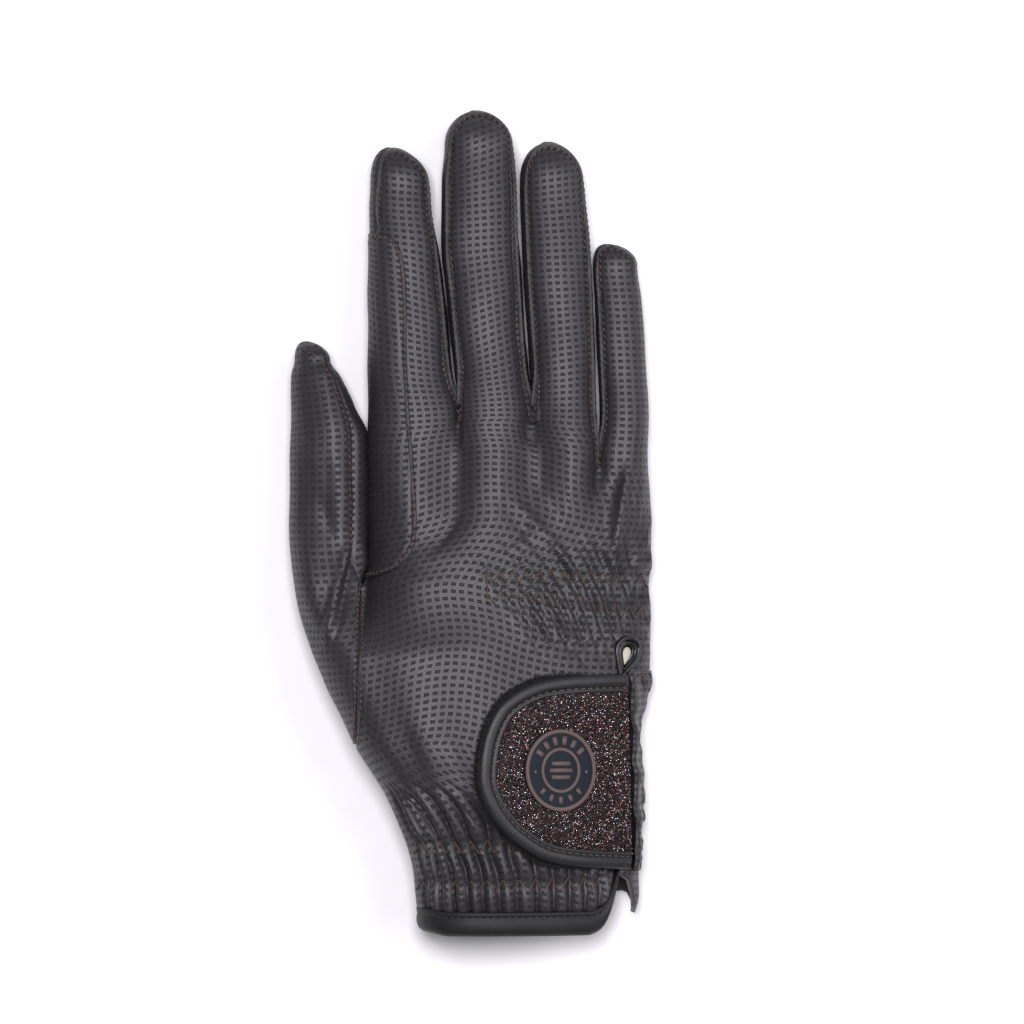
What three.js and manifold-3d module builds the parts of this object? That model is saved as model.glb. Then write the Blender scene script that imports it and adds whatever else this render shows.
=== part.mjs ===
// Horse riding glove for the right hand, lying palm down on a surface.
// Millimetres, +X towards the little finger, +Y towards the fingertips, +Z up out of the back of the hand.
// Each leather panel is a thin wall cut from one closed skin, which is made of sections across the hand.
import * as THREE from "three";
import { mergeVertices } from "three/addons/utils/BufferGeometryUtils.js";
import Module from "manifold-3d";

const wasm = await Module();
wasm.setup();

// Driving dimensions
const GLOVE_LENGTH = 231; // middle fingertip to the hem
const HAND_BREADTH = 80; // across the four knuckles
const HAND_DEPTH = 38; // back to palm at the wrist
const LEATHER = 1.5; // wall of every panel
const SEAM_GAP = 0.3; // between two panels that are sewn together
const GUSSET_GAP = 0.9; // between a narrow gusset and the two panels beside it
const GUSSET_TRIM = 0.12; // a gusset is cut clear of those panels by this much
const TRIM_SEAM_GAP = 0.1; // drawn back at the seams of the shape that cuts it
const CROTCH_DRAW_BACK = 2.2; // how many times further a panel is drawn back at a crotch
const SEAT_GAP = 0.3; // under a piece that lies on another
const SLIT_GAP = 0.7; // width of the wrist slit
const EYELET_WIDTH = 3.8; // width of the round end of the slit
const RUFFLE_DEPTH = 1.7; // valley of a cuff ruffle
const PINCH_DEPTH = 0.9; // how far an elastic row draws the cuff in
const GATHER_DEPTH = 0.9; // valley of a gather beside the knuckle elastic
const HEM_BINDING_SWELL = 0.45; // how far the hem binding stands off the leather, inside and out
const PATCH_THICKNESS = 0.9;
const PATCH_LIFT = 0.7; // under the patch, which bridges the seam of the index finger
const PIPING_LIFT = 0.9;
const TAB_REACH = 41.5; // closure tab, seen from above
const TAB_HEIGHT = 55;
const TAB_THICKNESS = 2.0;
const TAB_BINDING_WIDTH = 4.8;
const TAB_BINDING_THICKNESS = 2.5;
const HOOK_PAD_THICKNESS = 0.9;
const HOOK_PAD_OVERHANG = 0.8; // hook tape seen beyond the tab's round end
const BADGE_DIAMETER = 23;
const BADGE_THICKNESS = 1.3;
const BADGE_RING_WIDTH = 1.5;
const BADGE_RING_HEIGHT = 0.5;
const PIPING_DIAMETER = 1.7; // piping round the eyelet of the slit

// Mesh fineness
const BACK_COLUMNS = 5; // across the back of each digit
const PALM_COLUMNS = 3;
const SIDE_COLUMNS = 2;

// A table's rows as objects with named columns.
function table(columns, rows) {
  const names = columns.split(" ");
  return rows.map((row) => Object.fromEntries(names.map((name, k) => [name, row[k]])));
}

const lerp = (a, b, t) => a + (b - a) * t;
const clamp = (value, low, high) => Math.min(high, Math.max(low, value));
const signedPower = (value, power) => Math.sign(value) * Math.abs(value) ** power;
const radians = (degrees) => (degrees * Math.PI) / 180;

function smoothStep(low, high, value) {
  const t = clamp((value - low) / (high - low), 0, 1);
  return t * t * (3 - 2 * t);
}

// Value of one column between the rows of a table, with slopes that never overshoot.
function read(rows, column, at) {
  const last = rows.length - 1;
  if (at <= rows[0].at) return rows[0][column];
  if (at >= rows[last].at) return rows[last][column];
  const k = rows.findIndex((row) => row.at > at) - 1;
  const secant = (n) => (rows[n + 1][column] - rows[n][column]) / (rows[n + 1].at - rows[n].at);
  const slope = (n) => {
    if (n === 0 || n === last) return 0;
    const before = secant(n - 1);
    const after = secant(n);
    return before * after <= 0 ? 0 : (2 * before * after) / (before + after);
  };
  const step = rows[k + 1].at - rows[k].at;
  const t = (at - rows[k].at) / step;
  const rise = rows[k + 1][column] - rows[k][column];
  const m0 = slope(k) * step;
  const m1 = slope(k + 1) * step;
  return rows[k][column] + t * (m0 + t * (3 * rise - 2 * m0 - m1 + t * (m0 + m1 - 2 * rise)));
}

// In every table: at is a share of GLOVE_LENGTH from the hem; left, right and other places across
// the hand are shares of HAND_BREADTH from the middle; heights are shares of HAND_DEPTH.

// The whole hand with the thumb's root, from the hem to the crotch of the thumb
const HAND = table("at left right top bottom tilt slit leftSeam", [
  [0.0, -0.177, 0.56, 0.9, -0.03, 0.22, 0.5, 20],
  [0.05, -0.195, 0.592, 0.95, -0.04, 0.24, 0.512, 20],
  [0.1, -0.218, 0.59, 0.97, -0.05, 0.25, 0.527, 20],
  [0.17, -0.305, 0.602, 1.0, -0.06, 0.25, 0.535, 16],
  [0.204, -0.359, 0.597, 1.0, -0.06, 0.24, 0.535, 10],
  [0.24, -0.425, 0.586, 0.98, -0.06, 0.22, 0.53, 7],
  [0.277, -0.478, 0.607, 0.96, -0.06, 0.19, 0.528, 11],
  [0.313, -0.523, 0.63, 0.93, -0.06, 0.16, 0.53, 17],
  [0.341, -0.56, 0.63, 0.91, -0.06, 0.14, 0.55, 21],
  [0.368, -0.586, 0.632, 0.88, -0.06, 0.12, 0.553, 25],
  [0.422, -0.618, 0.626, 0.83, -0.06, 0.09, 0.555, 30],
]);
const NARROWEST_STRIP = 4; // degrees, where the thumb's seam runs off over the side
// The four fingers' part of the hand, from below the crotch of the thumb to the finger crotches
const KNUCKLES = table("at left right top bottom tilt", [
  [0.3, -0.386, 0.625, 0.9, -0.06, 0.16],
  [0.38, -0.382, 0.632, 0.86, -0.06, 0.11],
  [0.422, -0.38, 0.626, 0.82, -0.06, 0.09],
  [0.445, -0.356, 0.636, 0.8, -0.05, 0.08],
  [0.477, -0.352, 0.639, 0.78, -0.05, 0.06],
  [0.55, -0.352, 0.628, 0.74, -0.03, 0.03],
  [0.62, -0.352, 0.621, 0.7, -0.02, 0.0],
]);
// Line across the back where the thumb's strip meets the index finger's, below their crotch
const THUMB_LINE = table("at across", [
  [0.0, -0.05],
  [0.11, -0.1],
  [0.17, -0.23],
  [0.228, -0.402],
  [0.3, -0.4],
  [0.422, -0.381],
  [0.62, -0.38],
]);
const CROTCHES = [0.422, 0.62, 0.62, 0.564];
// Each digit from below its crotch to where its tip starts to round
const THUMB = table("at left right top bottom", [
  [0.3, -0.505, -0.388, 0.74, -0.05],
  [0.368, -0.586, -0.384, 0.68, -0.05],
  [0.422, -0.618, -0.38, 0.64, -0.04],
  [0.45, -0.628, -0.379, 0.62, -0.03],
  [0.513, -0.639, -0.376, 0.58, 0.0],
  [0.604, -0.635, -0.378, 0.54, 0.02],
  [0.641, -0.635, -0.408, 0.51, 0.05],
  [0.677, -0.628, -0.457, 0.46, 0.09],
  [0.695, -0.614, -0.492, 0.42, 0.12],
]);
const INDEX = table("at left right top bottom", [
  [0.44, -0.352, -0.047, 0.72, -0.03],
  [0.62, -0.352, -0.037, 0.64, 0.0],
  [0.677, -0.352, -0.068, 0.6, 0.03],
  [0.768, -0.352, -0.0945, 0.54, 0.06],
  [0.837, -0.352, -0.119, 0.49, 0.06],
  [0.88, -0.3535, -0.138, 0.46, 0.05],
  [0.911, -0.348, -0.142, 0.43, 0.04],
]);
const MIDDLE = table("at left right top bottom", [
  [0.44, -0.047, 0.217, 0.76, -0.03],
  [0.62, -0.037, 0.219, 0.68, 0.0],
  [0.677, -0.061, 0.198, 0.63, 0.03],
  [0.768, -0.0875, 0.1785, 0.57, 0.06],
  [0.837, -0.107, 0.168, 0.53, 0.06],
  [0.911, -0.107, 0.161, 0.48, 0.05],
  [0.957, -0.096, 0.152, 0.44, 0.04],
]);
const RING = table("at left right top bottom", [
  [0.44, 0.217, 0.447, 0.74, -0.03],
  [0.564, 0.219, 0.446, 0.68, -0.01],
  [0.62, 0.219, 0.439, 0.65, 0.0],
  [0.677, 0.205, 0.434, 0.6, 0.03],
  [0.768, 0.1855, 0.425, 0.54, 0.06],
  [0.837, 0.175, 0.4165, 0.49, 0.06],
  [0.915, 0.168, 0.397, 0.43, 0.04],
]);
const LITTLE = table("at left right top bottom", [
  [0.44, 0.447, 0.638, 0.62, -0.03],
  [0.564, 0.446, 0.625, 0.56, 0.0],
  [0.62, 0.4515, 0.621, 0.52, 0.02],
  [0.677, 0.446, 0.618, 0.48, 0.04],
  [0.768, 0.434, 0.6, 0.41, 0.05],
  [0.811, 0.427, 0.581, 0.37, 0.05],
]);
// tip: where the digit ends; lean: place of the tip across the hand; seam angles from the side upwards
const DIGITS = [
  { sections: THUMB, tip: 0.718, lean: -0.575, leftSeam: 30, rightSeam: 50 },
  { sections: INDEX, tip: 0.954, lean: -0.275, leftSeam: 42, rightSeam: 35 },
  { sections: MIDDLE, tip: 1.0, lean: 0.023, leftSeam: 35, rightSeam: 35 },
  { sections: RING, tip: 0.961, lean: 0.271, leftSeam: 35, rightSeam: 35 },
  { sections: LITTLE, tip: 0.838, lean: 0.478, leftSeam: 35, rightSeam: 30 },
];
const LAST = DIGITS.length - 1;

const HAND_POWER = 2.35; // squareness of a section: 2 is an ellipse
const DIGIT_POWER = 2.5;
const WIDEST_AT = 0.42; // height of a section's widest place, as a share of its depth
const PALM_SEAM = 35; // degrees below the side
const TO_WHOLE_HAND = { low: 0.331, high: 0.418 }; // the thumb's root blends into the hand here
const TO_FINGERS = { low: 0.45, high: 0.56 }; // the fingers' roots blend into the hand here
const THUMB_TILT_FADE = { low: 0.422, high: 0.5 }; // the tilt of the hand dies out along the thumb
const CROTCH_EASE = 0.07; // length above a crotch over which the side walls become round
const THUMB_PANEL_END = 0.228;
const SLIT_TOP = 0.357;
const EYELET = { low: 0.316, middle: 0.341 };

// Rise of the hem as a share of GLOVE_LENGTH, across the back and across the palm
const BACK_HEM = table("at rise", [
  [0.0, 0.006],
  [0.15, 0.002],
  [0.85, 0.002],
  [0.93, 0.008],
  [0.97, 0.024],
  [1.0, 0.056],
]);
const SIDE_HEM = table("at rise", [
  [0.0, 0.073],
  [0.5, 0.024],
  [1.0, 0.052],
]);
const PALM_HEM = table("at rise", [
  [0.0, 0.008],
  [0.4, 0.02],
  [1.0, 0.052],
]);
const HEM_FADE = 0.2; // the rise of the hem dies out at this share of the length

// Elastic rows of the cuff, and how high the ruffles stand between them
const CUFF_ROWS = [0.061, 0.109];
const CUFF_ROW_REACH = 0.012;
const RUFFLES = table("at height", [
  [0.0, 0.15],
  [0.035, 0.8],
  [0.061, 0.55],
  [0.085, 1.0],
  [0.109, 0.6],
  [0.14, 1.0],
  [0.2, 0.0],
]);
const GATHERS = table("at height", [
  [0.34, 0.0],
  [0.38, 0.8],
  [0.405, 0.35],
  [0.42, 0.7],
  [0.437, 0.35],
  [0.46, 0.8],
  [0.52, 0.0],
]);
const GATHERS_START = { low: 0.45, high: 0.55 }; // the gathers set in here, as shares across the back

// Reinforcing patch over the index finger: its edge as a share of the finger's back
const PATCH = table("at back", [
  [0.43, 0.16],
  [0.437, 0.38],
  [0.452, 0.53],
  [0.475, 0.61],
  [0.5, 0.63],
  [0.53, 0.61],
  [0.62, 0.53],
  [0.72, 0.56],
  [0.8, 0.57],
  [0.835, 0.5],
  [0.853, 0.36],
]);
const PATCH_BACK_STEPS = [1, 0.66, 0.33, 0];
const PATCH_SIDE_STEPS = [0.5, 0.95]; // of the finger's side, from back to palm
const PATCH_SIDE_LOW = 0.452; // on the side the patch stays above the crotch of the thumb
const PATCH_SIDE_RISE = 0.1; // slope of its lower edge there

// Closure tab: its sewn end and middle height on the wrist, and its bound edge from one end of the
// sewn edge round to the other. along is a share of TAB_REACH, across of half of TAB_HEIGHT.
const TAB_END = 0.551;
const TAB_MIDDLE = 0.196;
const TAB_EDGE = table("along across", [
  [0.0, 0.99],
  [0.2, 0.99],
  [0.42, 0.975],
  [0.6, 0.93],
  [0.75, 0.83],
  [0.87, 0.68],
  [0.95, 0.45],
  [0.99, 0.2],
  [1.0, -0.1],
  [0.955, -0.33],
  [0.885, -0.51],
  [0.785, -0.675],
  [0.6, -0.86],
  [0.4, -0.935],
  [0.2, -0.965],
  [0.0, -0.985],
]);
const TAB_STEPS = 25;
const TAB_LEAN = 0.8; // the lower half of the sewn edge leans outwards by up to this much
const TAB_CENTRE = 0.45; // the tab's rings are drawn about this share of its reach
const TAB_LIFTED = { low: 0.05, high: 0.4 }; // the tab rises over the hook pad between these shares
const SEWN_LIFT = 0.7; // of the sewn end over the leather
const HOOK_PAD_END = 0.45;
const HOOK_PAD_CENTRE = 0.7;
const HOOK_PAD_STRAIGHT_STEPS = 6; // along its straight edge
const PAD_RINGS = [0.35, 0.7, 1];
const BINDING_SECTION = table("across height", [
  [0.0, 0.72],
  [0.2, 1.0],
  [0.75, 1.0],
  [1.0, 0.85],
]);

// Badge on the tab
const BADGE_PLACE = { across: 0.317, at: 0.198 };
const BADGE_SIDES = 22;
const BADGE_INNER_RING = 0.57; // outer radius of the inner ring, as a share of the badge's radius
const BADGE_RIDGE = 0.01; // share of the radius over which a ring's wall rises

// Piping round the eyelet, seen from above
const PIPING_LENGTH = 9.2;
const PIPING_WIDTH = 5.6;
const PIPING_GAP = 0.3; // between its pointed end and the tab
const PIPING_FULLEST = 0.86; // widest value of the teardrop's formula
const PIPING_STEPS = 15;
const PIPING_SIDES = 7;

// Rows of the skin
const HAND_ROWS = [
  0.0, 0.024, 0.042, 0.061, 0.085, 0.109, 0.138, 0.18, 0.228, 0.26, 0.29,
  0.307, 0.316, 0.327, 0.336, 0.345, 0.353, 0.357, 0.37, 0.383, 0.396, 0.409, 0.422,
];
const KNUCKLE_ROWS = [0.437, 0.452, 0.475, 0.5, 0.53, 0.564, 0.592, 0.62];
const DIGIT_ROWS = 8; // from the crotch to where the tip starts to round
const ROW_CROWDING = 1.4; // above 1 the rows stand closer near the crotch
const TIP_ROWS = [0.4, 0.66, 0.84, 0.95]; // shares of the round tip's length
const HEM_BINDING_TOP = HAND_ROWS[1];
const NEAREST_ROW = 0.002; // rows of the patch keep this far from its two ends

// Reading the smooth back
const PROFILE_STEPS = 8; // across each digit
const PROFILE_OVERRUN = 1.2; // how far past its last step a profile is followed
const SLOPE_REACH = 1.5; // mm to each side over which the slope is measured
const FLATTEST_LIFT = 0.45; // on steeper slopes than this a lift grows no further
const WIDEST_SHARE = 0.999; // of a section's half width, where its angle is still read
const MERGE_WITHIN = 1e-4;

const placeAcross = (share) => share * HAND_BREADTH;
const placeAlong = (at) => (at - 0.5) * GLOVE_LENGTH;
const shareAlong = (y) => y / GLOVE_LENGTH + 0.5;

// A closed section: centre and half widths across, height of the widest place, depth above and below it.
function makeSection(left, right, top, bottom, power) {
  const centre = (left + right) / 2;
  const middle = bottom + (top - bottom) * WIDEST_AT;
  return {
    centre,
    leftHalf: centre - left,
    rightHalf: right - centre,
    middle,
    above: top - middle,
    below: middle - bottom,
    power,
  };
}

function sectionAt(rows, at, power) {
  return makeSection(
    placeAcross(read(rows, "left", at)),
    placeAcross(read(rows, "right", at)),
    HAND_DEPTH * read(rows, "top", at),
    HAND_DEPTH * read(rows, "bottom", at),
    power,
  );
}

// Point of a section at an angle from its right side, anticlockwise seen from the hem.
function onSection(section, angle) {
  const c = signedPower(Math.cos(angle), 2 / section.power);
  const s = signedPower(Math.sin(angle), 2 / section.power);
  return {
    x: section.centre + c * (c > 0 ? section.rightHalf : section.leftHalf),
    z: section.middle + s * (s > 0 ? section.above : section.below),
  };
}

// Angle of the place x on the back of a section.
function angleAt(section, x) {
  const half = x > section.centre ? section.rightHalf : section.leftHalf;
  const share = clamp((x - section.centre) / half, -WIDEST_SHARE, WIDEST_SHARE);
  return Math.acos(signedPower(share, section.power / 2));
}

// Point between two angles, spaced halfway between even angles and even places across.
function alongSection(section, from, to, t) {
  const x = (lerp(onSection(section, from).x, onSection(section, to).x, t) +
    onSection(section, lerp(from, to, t)).x) / 2;
  const half = x > section.centre ? section.rightHalf : section.leftHalf;
  const share = Math.min(1, Math.abs(x - section.centre) / half);
  const height = (1 - share ** section.power) ** (1 / section.power);
  const back = Math.sin(lerp(from, to, 0.5)) > 0;
  return { x, z: section.middle + height * (back ? section.above : -section.below) };
}

// 1 where the two digits beside a crotch are joined, 0 where both are round.
const joined = (crotch, at) => 1 - smoothStep(CROTCHES[crotch], CROTCHES[crotch] + CROTCH_EASE, at);

function digitSection(index, at) {
  const digit = DIGITS[index];
  const rows = digit.sections;
  const roundFrom = rows[rows.length - 1].at;
  const section = sectionAt(rows, Math.min(at, roundFrom), DIGIT_POWER);
  if (at <= roundFrom) return section;
  const along = Math.min(1, (at - roundFrom) / (digit.tip - roundFrom));
  const shrink = Math.sqrt(1 - along * along);
  section.centre = lerp(section.centre, placeAcross(digit.lean), along * along);
  section.leftHalf *= shrink;
  section.rightHalf *= shrink;
  section.above *= shrink;
  section.below *= shrink;
  return section;
}

// Point of a digit's own form. part is back, palm, left or right; t runs left to right or downwards.
function digitPoint(index, part, t, at) {
  const digit = DIGITS[index];
  const section = digitSection(index, at);
  const leftJoin = index > 0 ? joined(index - 1, at) : 0;
  const rightJoin = index < LAST ? joined(index, at) : 0;
  const leftAngle = radians(digit.leftSeam);
  const rightAngle = radians(digit.rightSeam);
  const palmAngle = radians(PALM_SEAM);
  const reach = (angle) => Math.cos(angle) ** (2 / DIGIT_POWER);
  const side = part === "left" || part === "right";
  if (side) {
    const join = part === "left" ? leftJoin : rightJoin;
    const top = part === "left" ? leftAngle : rightAngle;
    const angle = lerp(top, -palmAngle, t);
    const point = onSection(section, part === "left" ? Math.PI - angle : angle);
    const full = part === "left" ? -section.leftHalf : section.rightHalf;
    point.x = lerp(point.x, section.centre + full, join);
    return point;
  }
  const back = part === "back";
  const from = back ? Math.PI - leftAngle : Math.PI + palmAngle;
  const to = back ? rightAngle : 2 * Math.PI - palmAngle;
  const wide = {
    ...section,
    leftHalf: section.leftHalf / lerp(1, reach(back ? leftAngle : palmAngle), leftJoin),
    rightHalf: section.rightHalf / lerp(1, reach(back ? rightAngle : palmAngle), rightJoin),
  };
  return alongSection(wide, from, to, t);
}

// Point of the form that the four fingers share below their crotches.
function knucklePoint(index, part, t, at) {
  const section = sectionAt(KNUCKLES, at, HAND_POWER);
  const leftAngle = radians(DIGITS[1].leftSeam);
  const rightAngle = radians(DIGITS[LAST].rightSeam);
  const palmAngle = radians(PALM_SEAM);
  if (part === "left") return onSection(section, Math.PI - lerp(leftAngle, -palmAngle, t));
  if (part === "right") return onSection(section, lerp(rightAngle, -palmAngle, t));
  const share = (index - 1 + t) / LAST;
  if (part === "back") return alongSection(section, Math.PI - leftAngle, rightAngle, share);
  return alongSection(section, Math.PI + palmAngle, 2 * Math.PI - palmAngle, share);
}

// Point of the whole hand's form, thumb's root included.
function handPoint(index, part, t, at) {
  const section = sectionAt(HAND, at, HAND_POWER);
  const leftAngle = radians(read(HAND, "leftSeam", at));
  const palmAngle = radians(PALM_SEAM);
  const thumbAngle = Math.min(
    angleAt(section, placeAcross(read(THUMB_LINE, "across", at))),
    Math.PI - leftAngle - radians(NARROWEST_STRIP),
  );
  const slitAngle = angleAt(section, placeAcross(read(HAND, "slit", at)));
  if (part === "left") return onSection(section, Math.PI - lerp(leftAngle, -palmAngle, t));
  if (part === "right") return onSection(section, lerp(slitAngle, -palmAngle, t));
  const share = (index - 1 + t) / LAST;
  if (part === "back") {
    if (index === 0) return alongSection(section, Math.PI - leftAngle, thumbAngle, t);
    return alongSection(section, thumbAngle, slitAngle, share);
  }
  const from = Math.PI + palmAngle;
  const thumbTo = Math.max(2 * Math.PI - thumbAngle, from + radians(NARROWEST_STRIP));
  if (index === 0) return alongSection(section, from, thumbTo, t);
  return alongSection(section, thumbTo, 2 * Math.PI - palmAngle, share);
}

function mixPoints(a, b, t) {
  return { x: lerp(a.x, b.x, t), z: lerp(a.z, b.z, t) };
}

// Rise of the hem at a place round the glove.
function hemRise(index, part, t) {
  const across = (index + t) / (LAST + 1);
  if (part === "back") return read(BACK_HEM, "rise", across);
  if (part === "palm") return read(PALM_HEM, "rise", across);
  if (part === "right") return read(SIDE_HEM, "rise", t);
  return lerp(read(BACK_HEM, "rise", 0), read(PALM_HEM, "rise", 0), t);
}

// Point of the smooth form of the glove on one digit's strip, at a share of the glove's length.
function formPoint(index, part, t, at) {
  const whole = smoothStep(TO_WHOLE_HAND.low, TO_WHOLE_HAND.high, at);
  const fingers = index === 0 ? 1 : smoothStep(TO_FINGERS.low, TO_FINGERS.high, at);
  let point = null;
  let tilt = null;
  if (fingers > 0 && whole > 0) point = digitPoint(index, part, t, at);
  if (fingers < 1 && whole > 0) {
    const knuckle = knucklePoint(index, part, t, at);
    point = point ? mixPoints(knuckle, point, fingers) : knuckle;
  }
  if (whole < 1) {
    const hand = handPoint(index, part, t, at);
    point = point ? mixPoints(hand, point, whole) : hand;
  }
  const onHand = at < HAND[HAND.length - 1].at;
  if (index === 0) {
    const faded = smoothStep(THUMB_TILT_FADE.low, THUMB_TILT_FADE.high, at);
    tilt = read(HAND, "tilt", at) * (1 - faded);
  } else {
    tilt = onHand ? read(HAND, "tilt", at) : read(KNUCKLES, "tilt", at) * (1 - fingers);
  }
  const top = HAND_DEPTH * read(HAND, "top", at);
  const z = point.z - (tilt * point.x * Math.max(0, point.z)) / top;
  return new THREE.Vector3(point.x, placeAlong(at), Math.max(0, z));
}

// The same for a row of the skin, whose lowest rows follow the hem.
function skinPoint(index, part, t, row) {
  return formPoint(index, part, t, row + hemRise(index, part, t) * (1 - smoothStep(0, HEM_FADE, row)));
}

// How far the slit's edge stands from the slit's line at a share of the length.
function slitHalf(at) {
  const hole = smoothStep(EYELET.low, EYELET.middle, at) *
    Math.sqrt(Math.max(0, 1 - ((at - EYELET.middle) / (SLIT_TOP - EYELET.middle)) ** 2));
  const open = at < EYELET.middle ? smoothStep(EYELET.low, EYELET.middle, at) : hole;
  return lerp(SLIT_GAP, EYELET_WIDTH, open) / 2;
}

// The skin: shared vertices, and faces that know their digit, part and row.
const vertices = [];
const vertexOf = new Map();
const faces = [];

// The place that a strip's vertex shares with its neighbours.
function canonical(index, part, column, at) {
  const slit = index === LAST && at < SLIT_TOP;
  if (part === "right" && column === 0 && !slit) return canonical(index, "back", BACK_COLUMNS, at);
  if (part === "right" && column === SIDE_COLUMNS) return canonical(index, "palm", PALM_COLUMNS, at);
  if (part === "left" && column === 0) return canonical(index, "back", 0, at);
  if (part === "left" && column === SIDE_COLUMNS) return canonical(index, "palm", 0, at);
  const open = index === LAST || at > CROTCHES[index];
  if (part === "back" && column === BACK_COLUMNS && !open) return canonical(index + 1, "back", 0, at);
  if (part === "palm" && column === PALM_COLUMNS && !open) return canonical(index + 1, "palm", 0, at);
  if (part === "right" && index < LAST && at === CROTCHES[index]) {
    return canonical(index + 1, "left", column, at);
  }
  return { index, part, column };
}

const columnsOf = { back: BACK_COLUMNS, palm: PALM_COLUMNS, left: SIDE_COLUMNS, right: SIDE_COLUMNS };

function placeVertex({ index, part, column }, at) {
  const t = column / columnsOf[part];
  const point = skinPoint(index, part, t, at);
  const joinedLeft = index > 0 && at <= CROTCHES[index - 1];
  if (joinedLeft && column === 0 && part !== "right") {
    point.add(skinPoint(index - 1, part === "left" ? "right" : part, 1, at)).multiplyScalar(0.5);
  }
  if (part === "left" && joinedLeft && column > 0) {
    point.copy(skinPoint(index, part, t, at)).add(skinPoint(index - 1, "right", t, at)).multiplyScalar(0.5);
  }
  if (index === LAST && at < SLIT_TOP) {
    if (part === "back" && column === BACK_COLUMNS) point.x -= slitHalf(at);
    if (part === "right" && column === 0) point.x += slitHalf(at);
  }
  return point;
}

function vertex(index, part, column, at, tip) {
  const place = tip ? { index, part: "tip", column: 0 } : canonical(index, part, column, at);
  const key = [place.index, place.part, place.column, at].join(" ");
  if (!vertexOf.has(key)) {
    vertexOf.set(key, vertices.length);
    const digit = DIGITS[index];
    const point = tip
      ? new THREE.Vector3(placeAcross(digit.lean), placeAlong(at), digitSection(index, at).middle)
      : placeVertex(place, at);
    vertices.push({ point, ...place, at });
  }
  return vertexOf.get(key);
}

function digitRows(index) {
  const below = KNUCKLE_ROWS.filter((at) => at <= CROTCHES[index === LAST ? 3 : 1]);
  const shared = index === 0 ? HAND_ROWS : [...HAND_ROWS, ...below];
  const sections = DIGITS[index].sections;
  const from = shared[shared.length - 1];
  const roundFrom = sections[sections.length - 1].at;
  const tip = DIGITS[index].tip;
  const own = Array.from({ length: DIGIT_ROWS }, (_, k) =>
    lerp(from, roundFrom, ((k + 1) / DIGIT_ROWS) ** ROW_CROWDING));
  const round = [...TIP_ROWS, 1].map((share) => lerp(roundFrom, tip, share));
  return [...shared, ...own, ...round];
}

function addFace(corners, facts) {
  const distinct = corners.filter((corner, k) => corner !== corners[(k + 1) % corners.length]);
  if (distinct.length === 3) faces.push({ corners: distinct, ...facts });
  if (distinct.length === 4) {
    faces.push({ corners: [distinct[0], distinct[1], distinct[2]], ...facts });
    faces.push({ corners: [distinct[0], distinct[2], distinct[3]], ...facts });
  }
}

for (let index = 0; index <= LAST; index++) {
  const rows = digitRows(index);
  for (let k = 0; k + 1 < rows.length; k++) {
    const low = rows[k];
    const high = rows[k + 1];
    const tip = k + 2 === rows.length;
    for (const part of ["back", "right", "palm", "left"]) {
      if (part === "right" && index < LAST && low < CROTCHES[index]) continue;
      if (part === "left" && index > 0 && low < CROTCHES[index - 1]) continue;
      const turned = part === "palm" || part === "left";
      for (let column = 0; column < columnsOf[part]; column++) {
        const first = turned ? column + 1 : column;
        const second = turned ? column : column + 1;
        addFace(
          [
            vertex(index, part, first, low, false),
            vertex(index, part, second, low, false),
            vertex(index, part, second, high, tip),
            vertex(index, part, first, high, tip),
          ],
          { index, part, column, low, tip },
        );
      }
    }
  }
}

function addNormals(list) {
  for (const each of vertices) each.normal = new THREE.Vector3();
  for (const { corners } of list) {
    const [a, b, c] = corners.map((corner) => vertices[corner].point);
    const normal = b.clone().sub(a).cross(c.clone().sub(a));
    for (const corner of corners) vertices[corner].normal.add(normal);
  }
  for (const each of vertices) each.normal.normalize();
}

// Ruffles and gathers: every second column of the back sinks, and elastic rows draw the cuff in.
function sinkFolds() {
  for (const each of vertices) {
    const column = each.index * BACK_COLUMNS + each.column;
    const across = column / ((LAST + 1) * BACK_COLUMNS);
    if (each.part !== "back") continue;
    const valley = column % 2 === 1 ? 1 : 0;
    const gathered = smoothStep(GATHERS_START.low, GATHERS_START.high, across);
    const pinch = CUFF_ROWS.reduce(
      (sum, row) => sum + Math.exp(-(((each.at - row) / CUFF_ROW_REACH) ** 2)), 0);
    const depth = valley * RUFFLE_DEPTH * read(RUFFLES, "height", each.at) + pinch * PINCH_DEPTH +
      valley * gathered * GATHER_DEPTH * read(GATHERS, "height", each.at);
    each.point.addScaledVector(each.normal, -depth);
  }
}

addNormals(faces);
sinkFolds();
addNormals(faces);

// A closed geometry from a list of points and of faces.
function solid(points, triangles) {
  const geometry = new THREE.BufferGeometry();
  const places = points.flatMap((p) => [p.x, p.y, p.z]);
  geometry.setAttribute("position", new THREE.Float32BufferAttribute(places, 3));
  geometry.setIndex(triangles.flat());
  geometry.computeVertexNormals();
  return geometry;
}

function solidOf(geometry) {
  const bare = new THREE.BufferGeometry().setAttribute("position", geometry.getAttribute("position"));
  if (geometry.index) bare.setIndex(geometry.index);
  const merged = mergeVertices(bare, MERGE_WITHIN);
  return new wasm.Manifold(
    new wasm.Mesh({
      numProp: 3,
      vertProperties: merged.attributes.position.array,
      triVerts: new Uint32Array(merged.index.array),
    }),
  );
}

const largestBody = (manifold) => manifold.decompose().sort((a, b) => b.volume() - a.volume())[0];

function geometryOf(manifold) {
  const mesh = manifold.getMesh();
  const geometry = new THREE.BufferGeometry();
  geometry.setAttribute("position", new THREE.BufferAttribute(mesh.vertProperties, 3));
  geometry.setIndex(new THREE.BufferAttribute(mesh.triVerts, 1));
  geometry.computeVertexNormals();
  return geometry;
}

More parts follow.
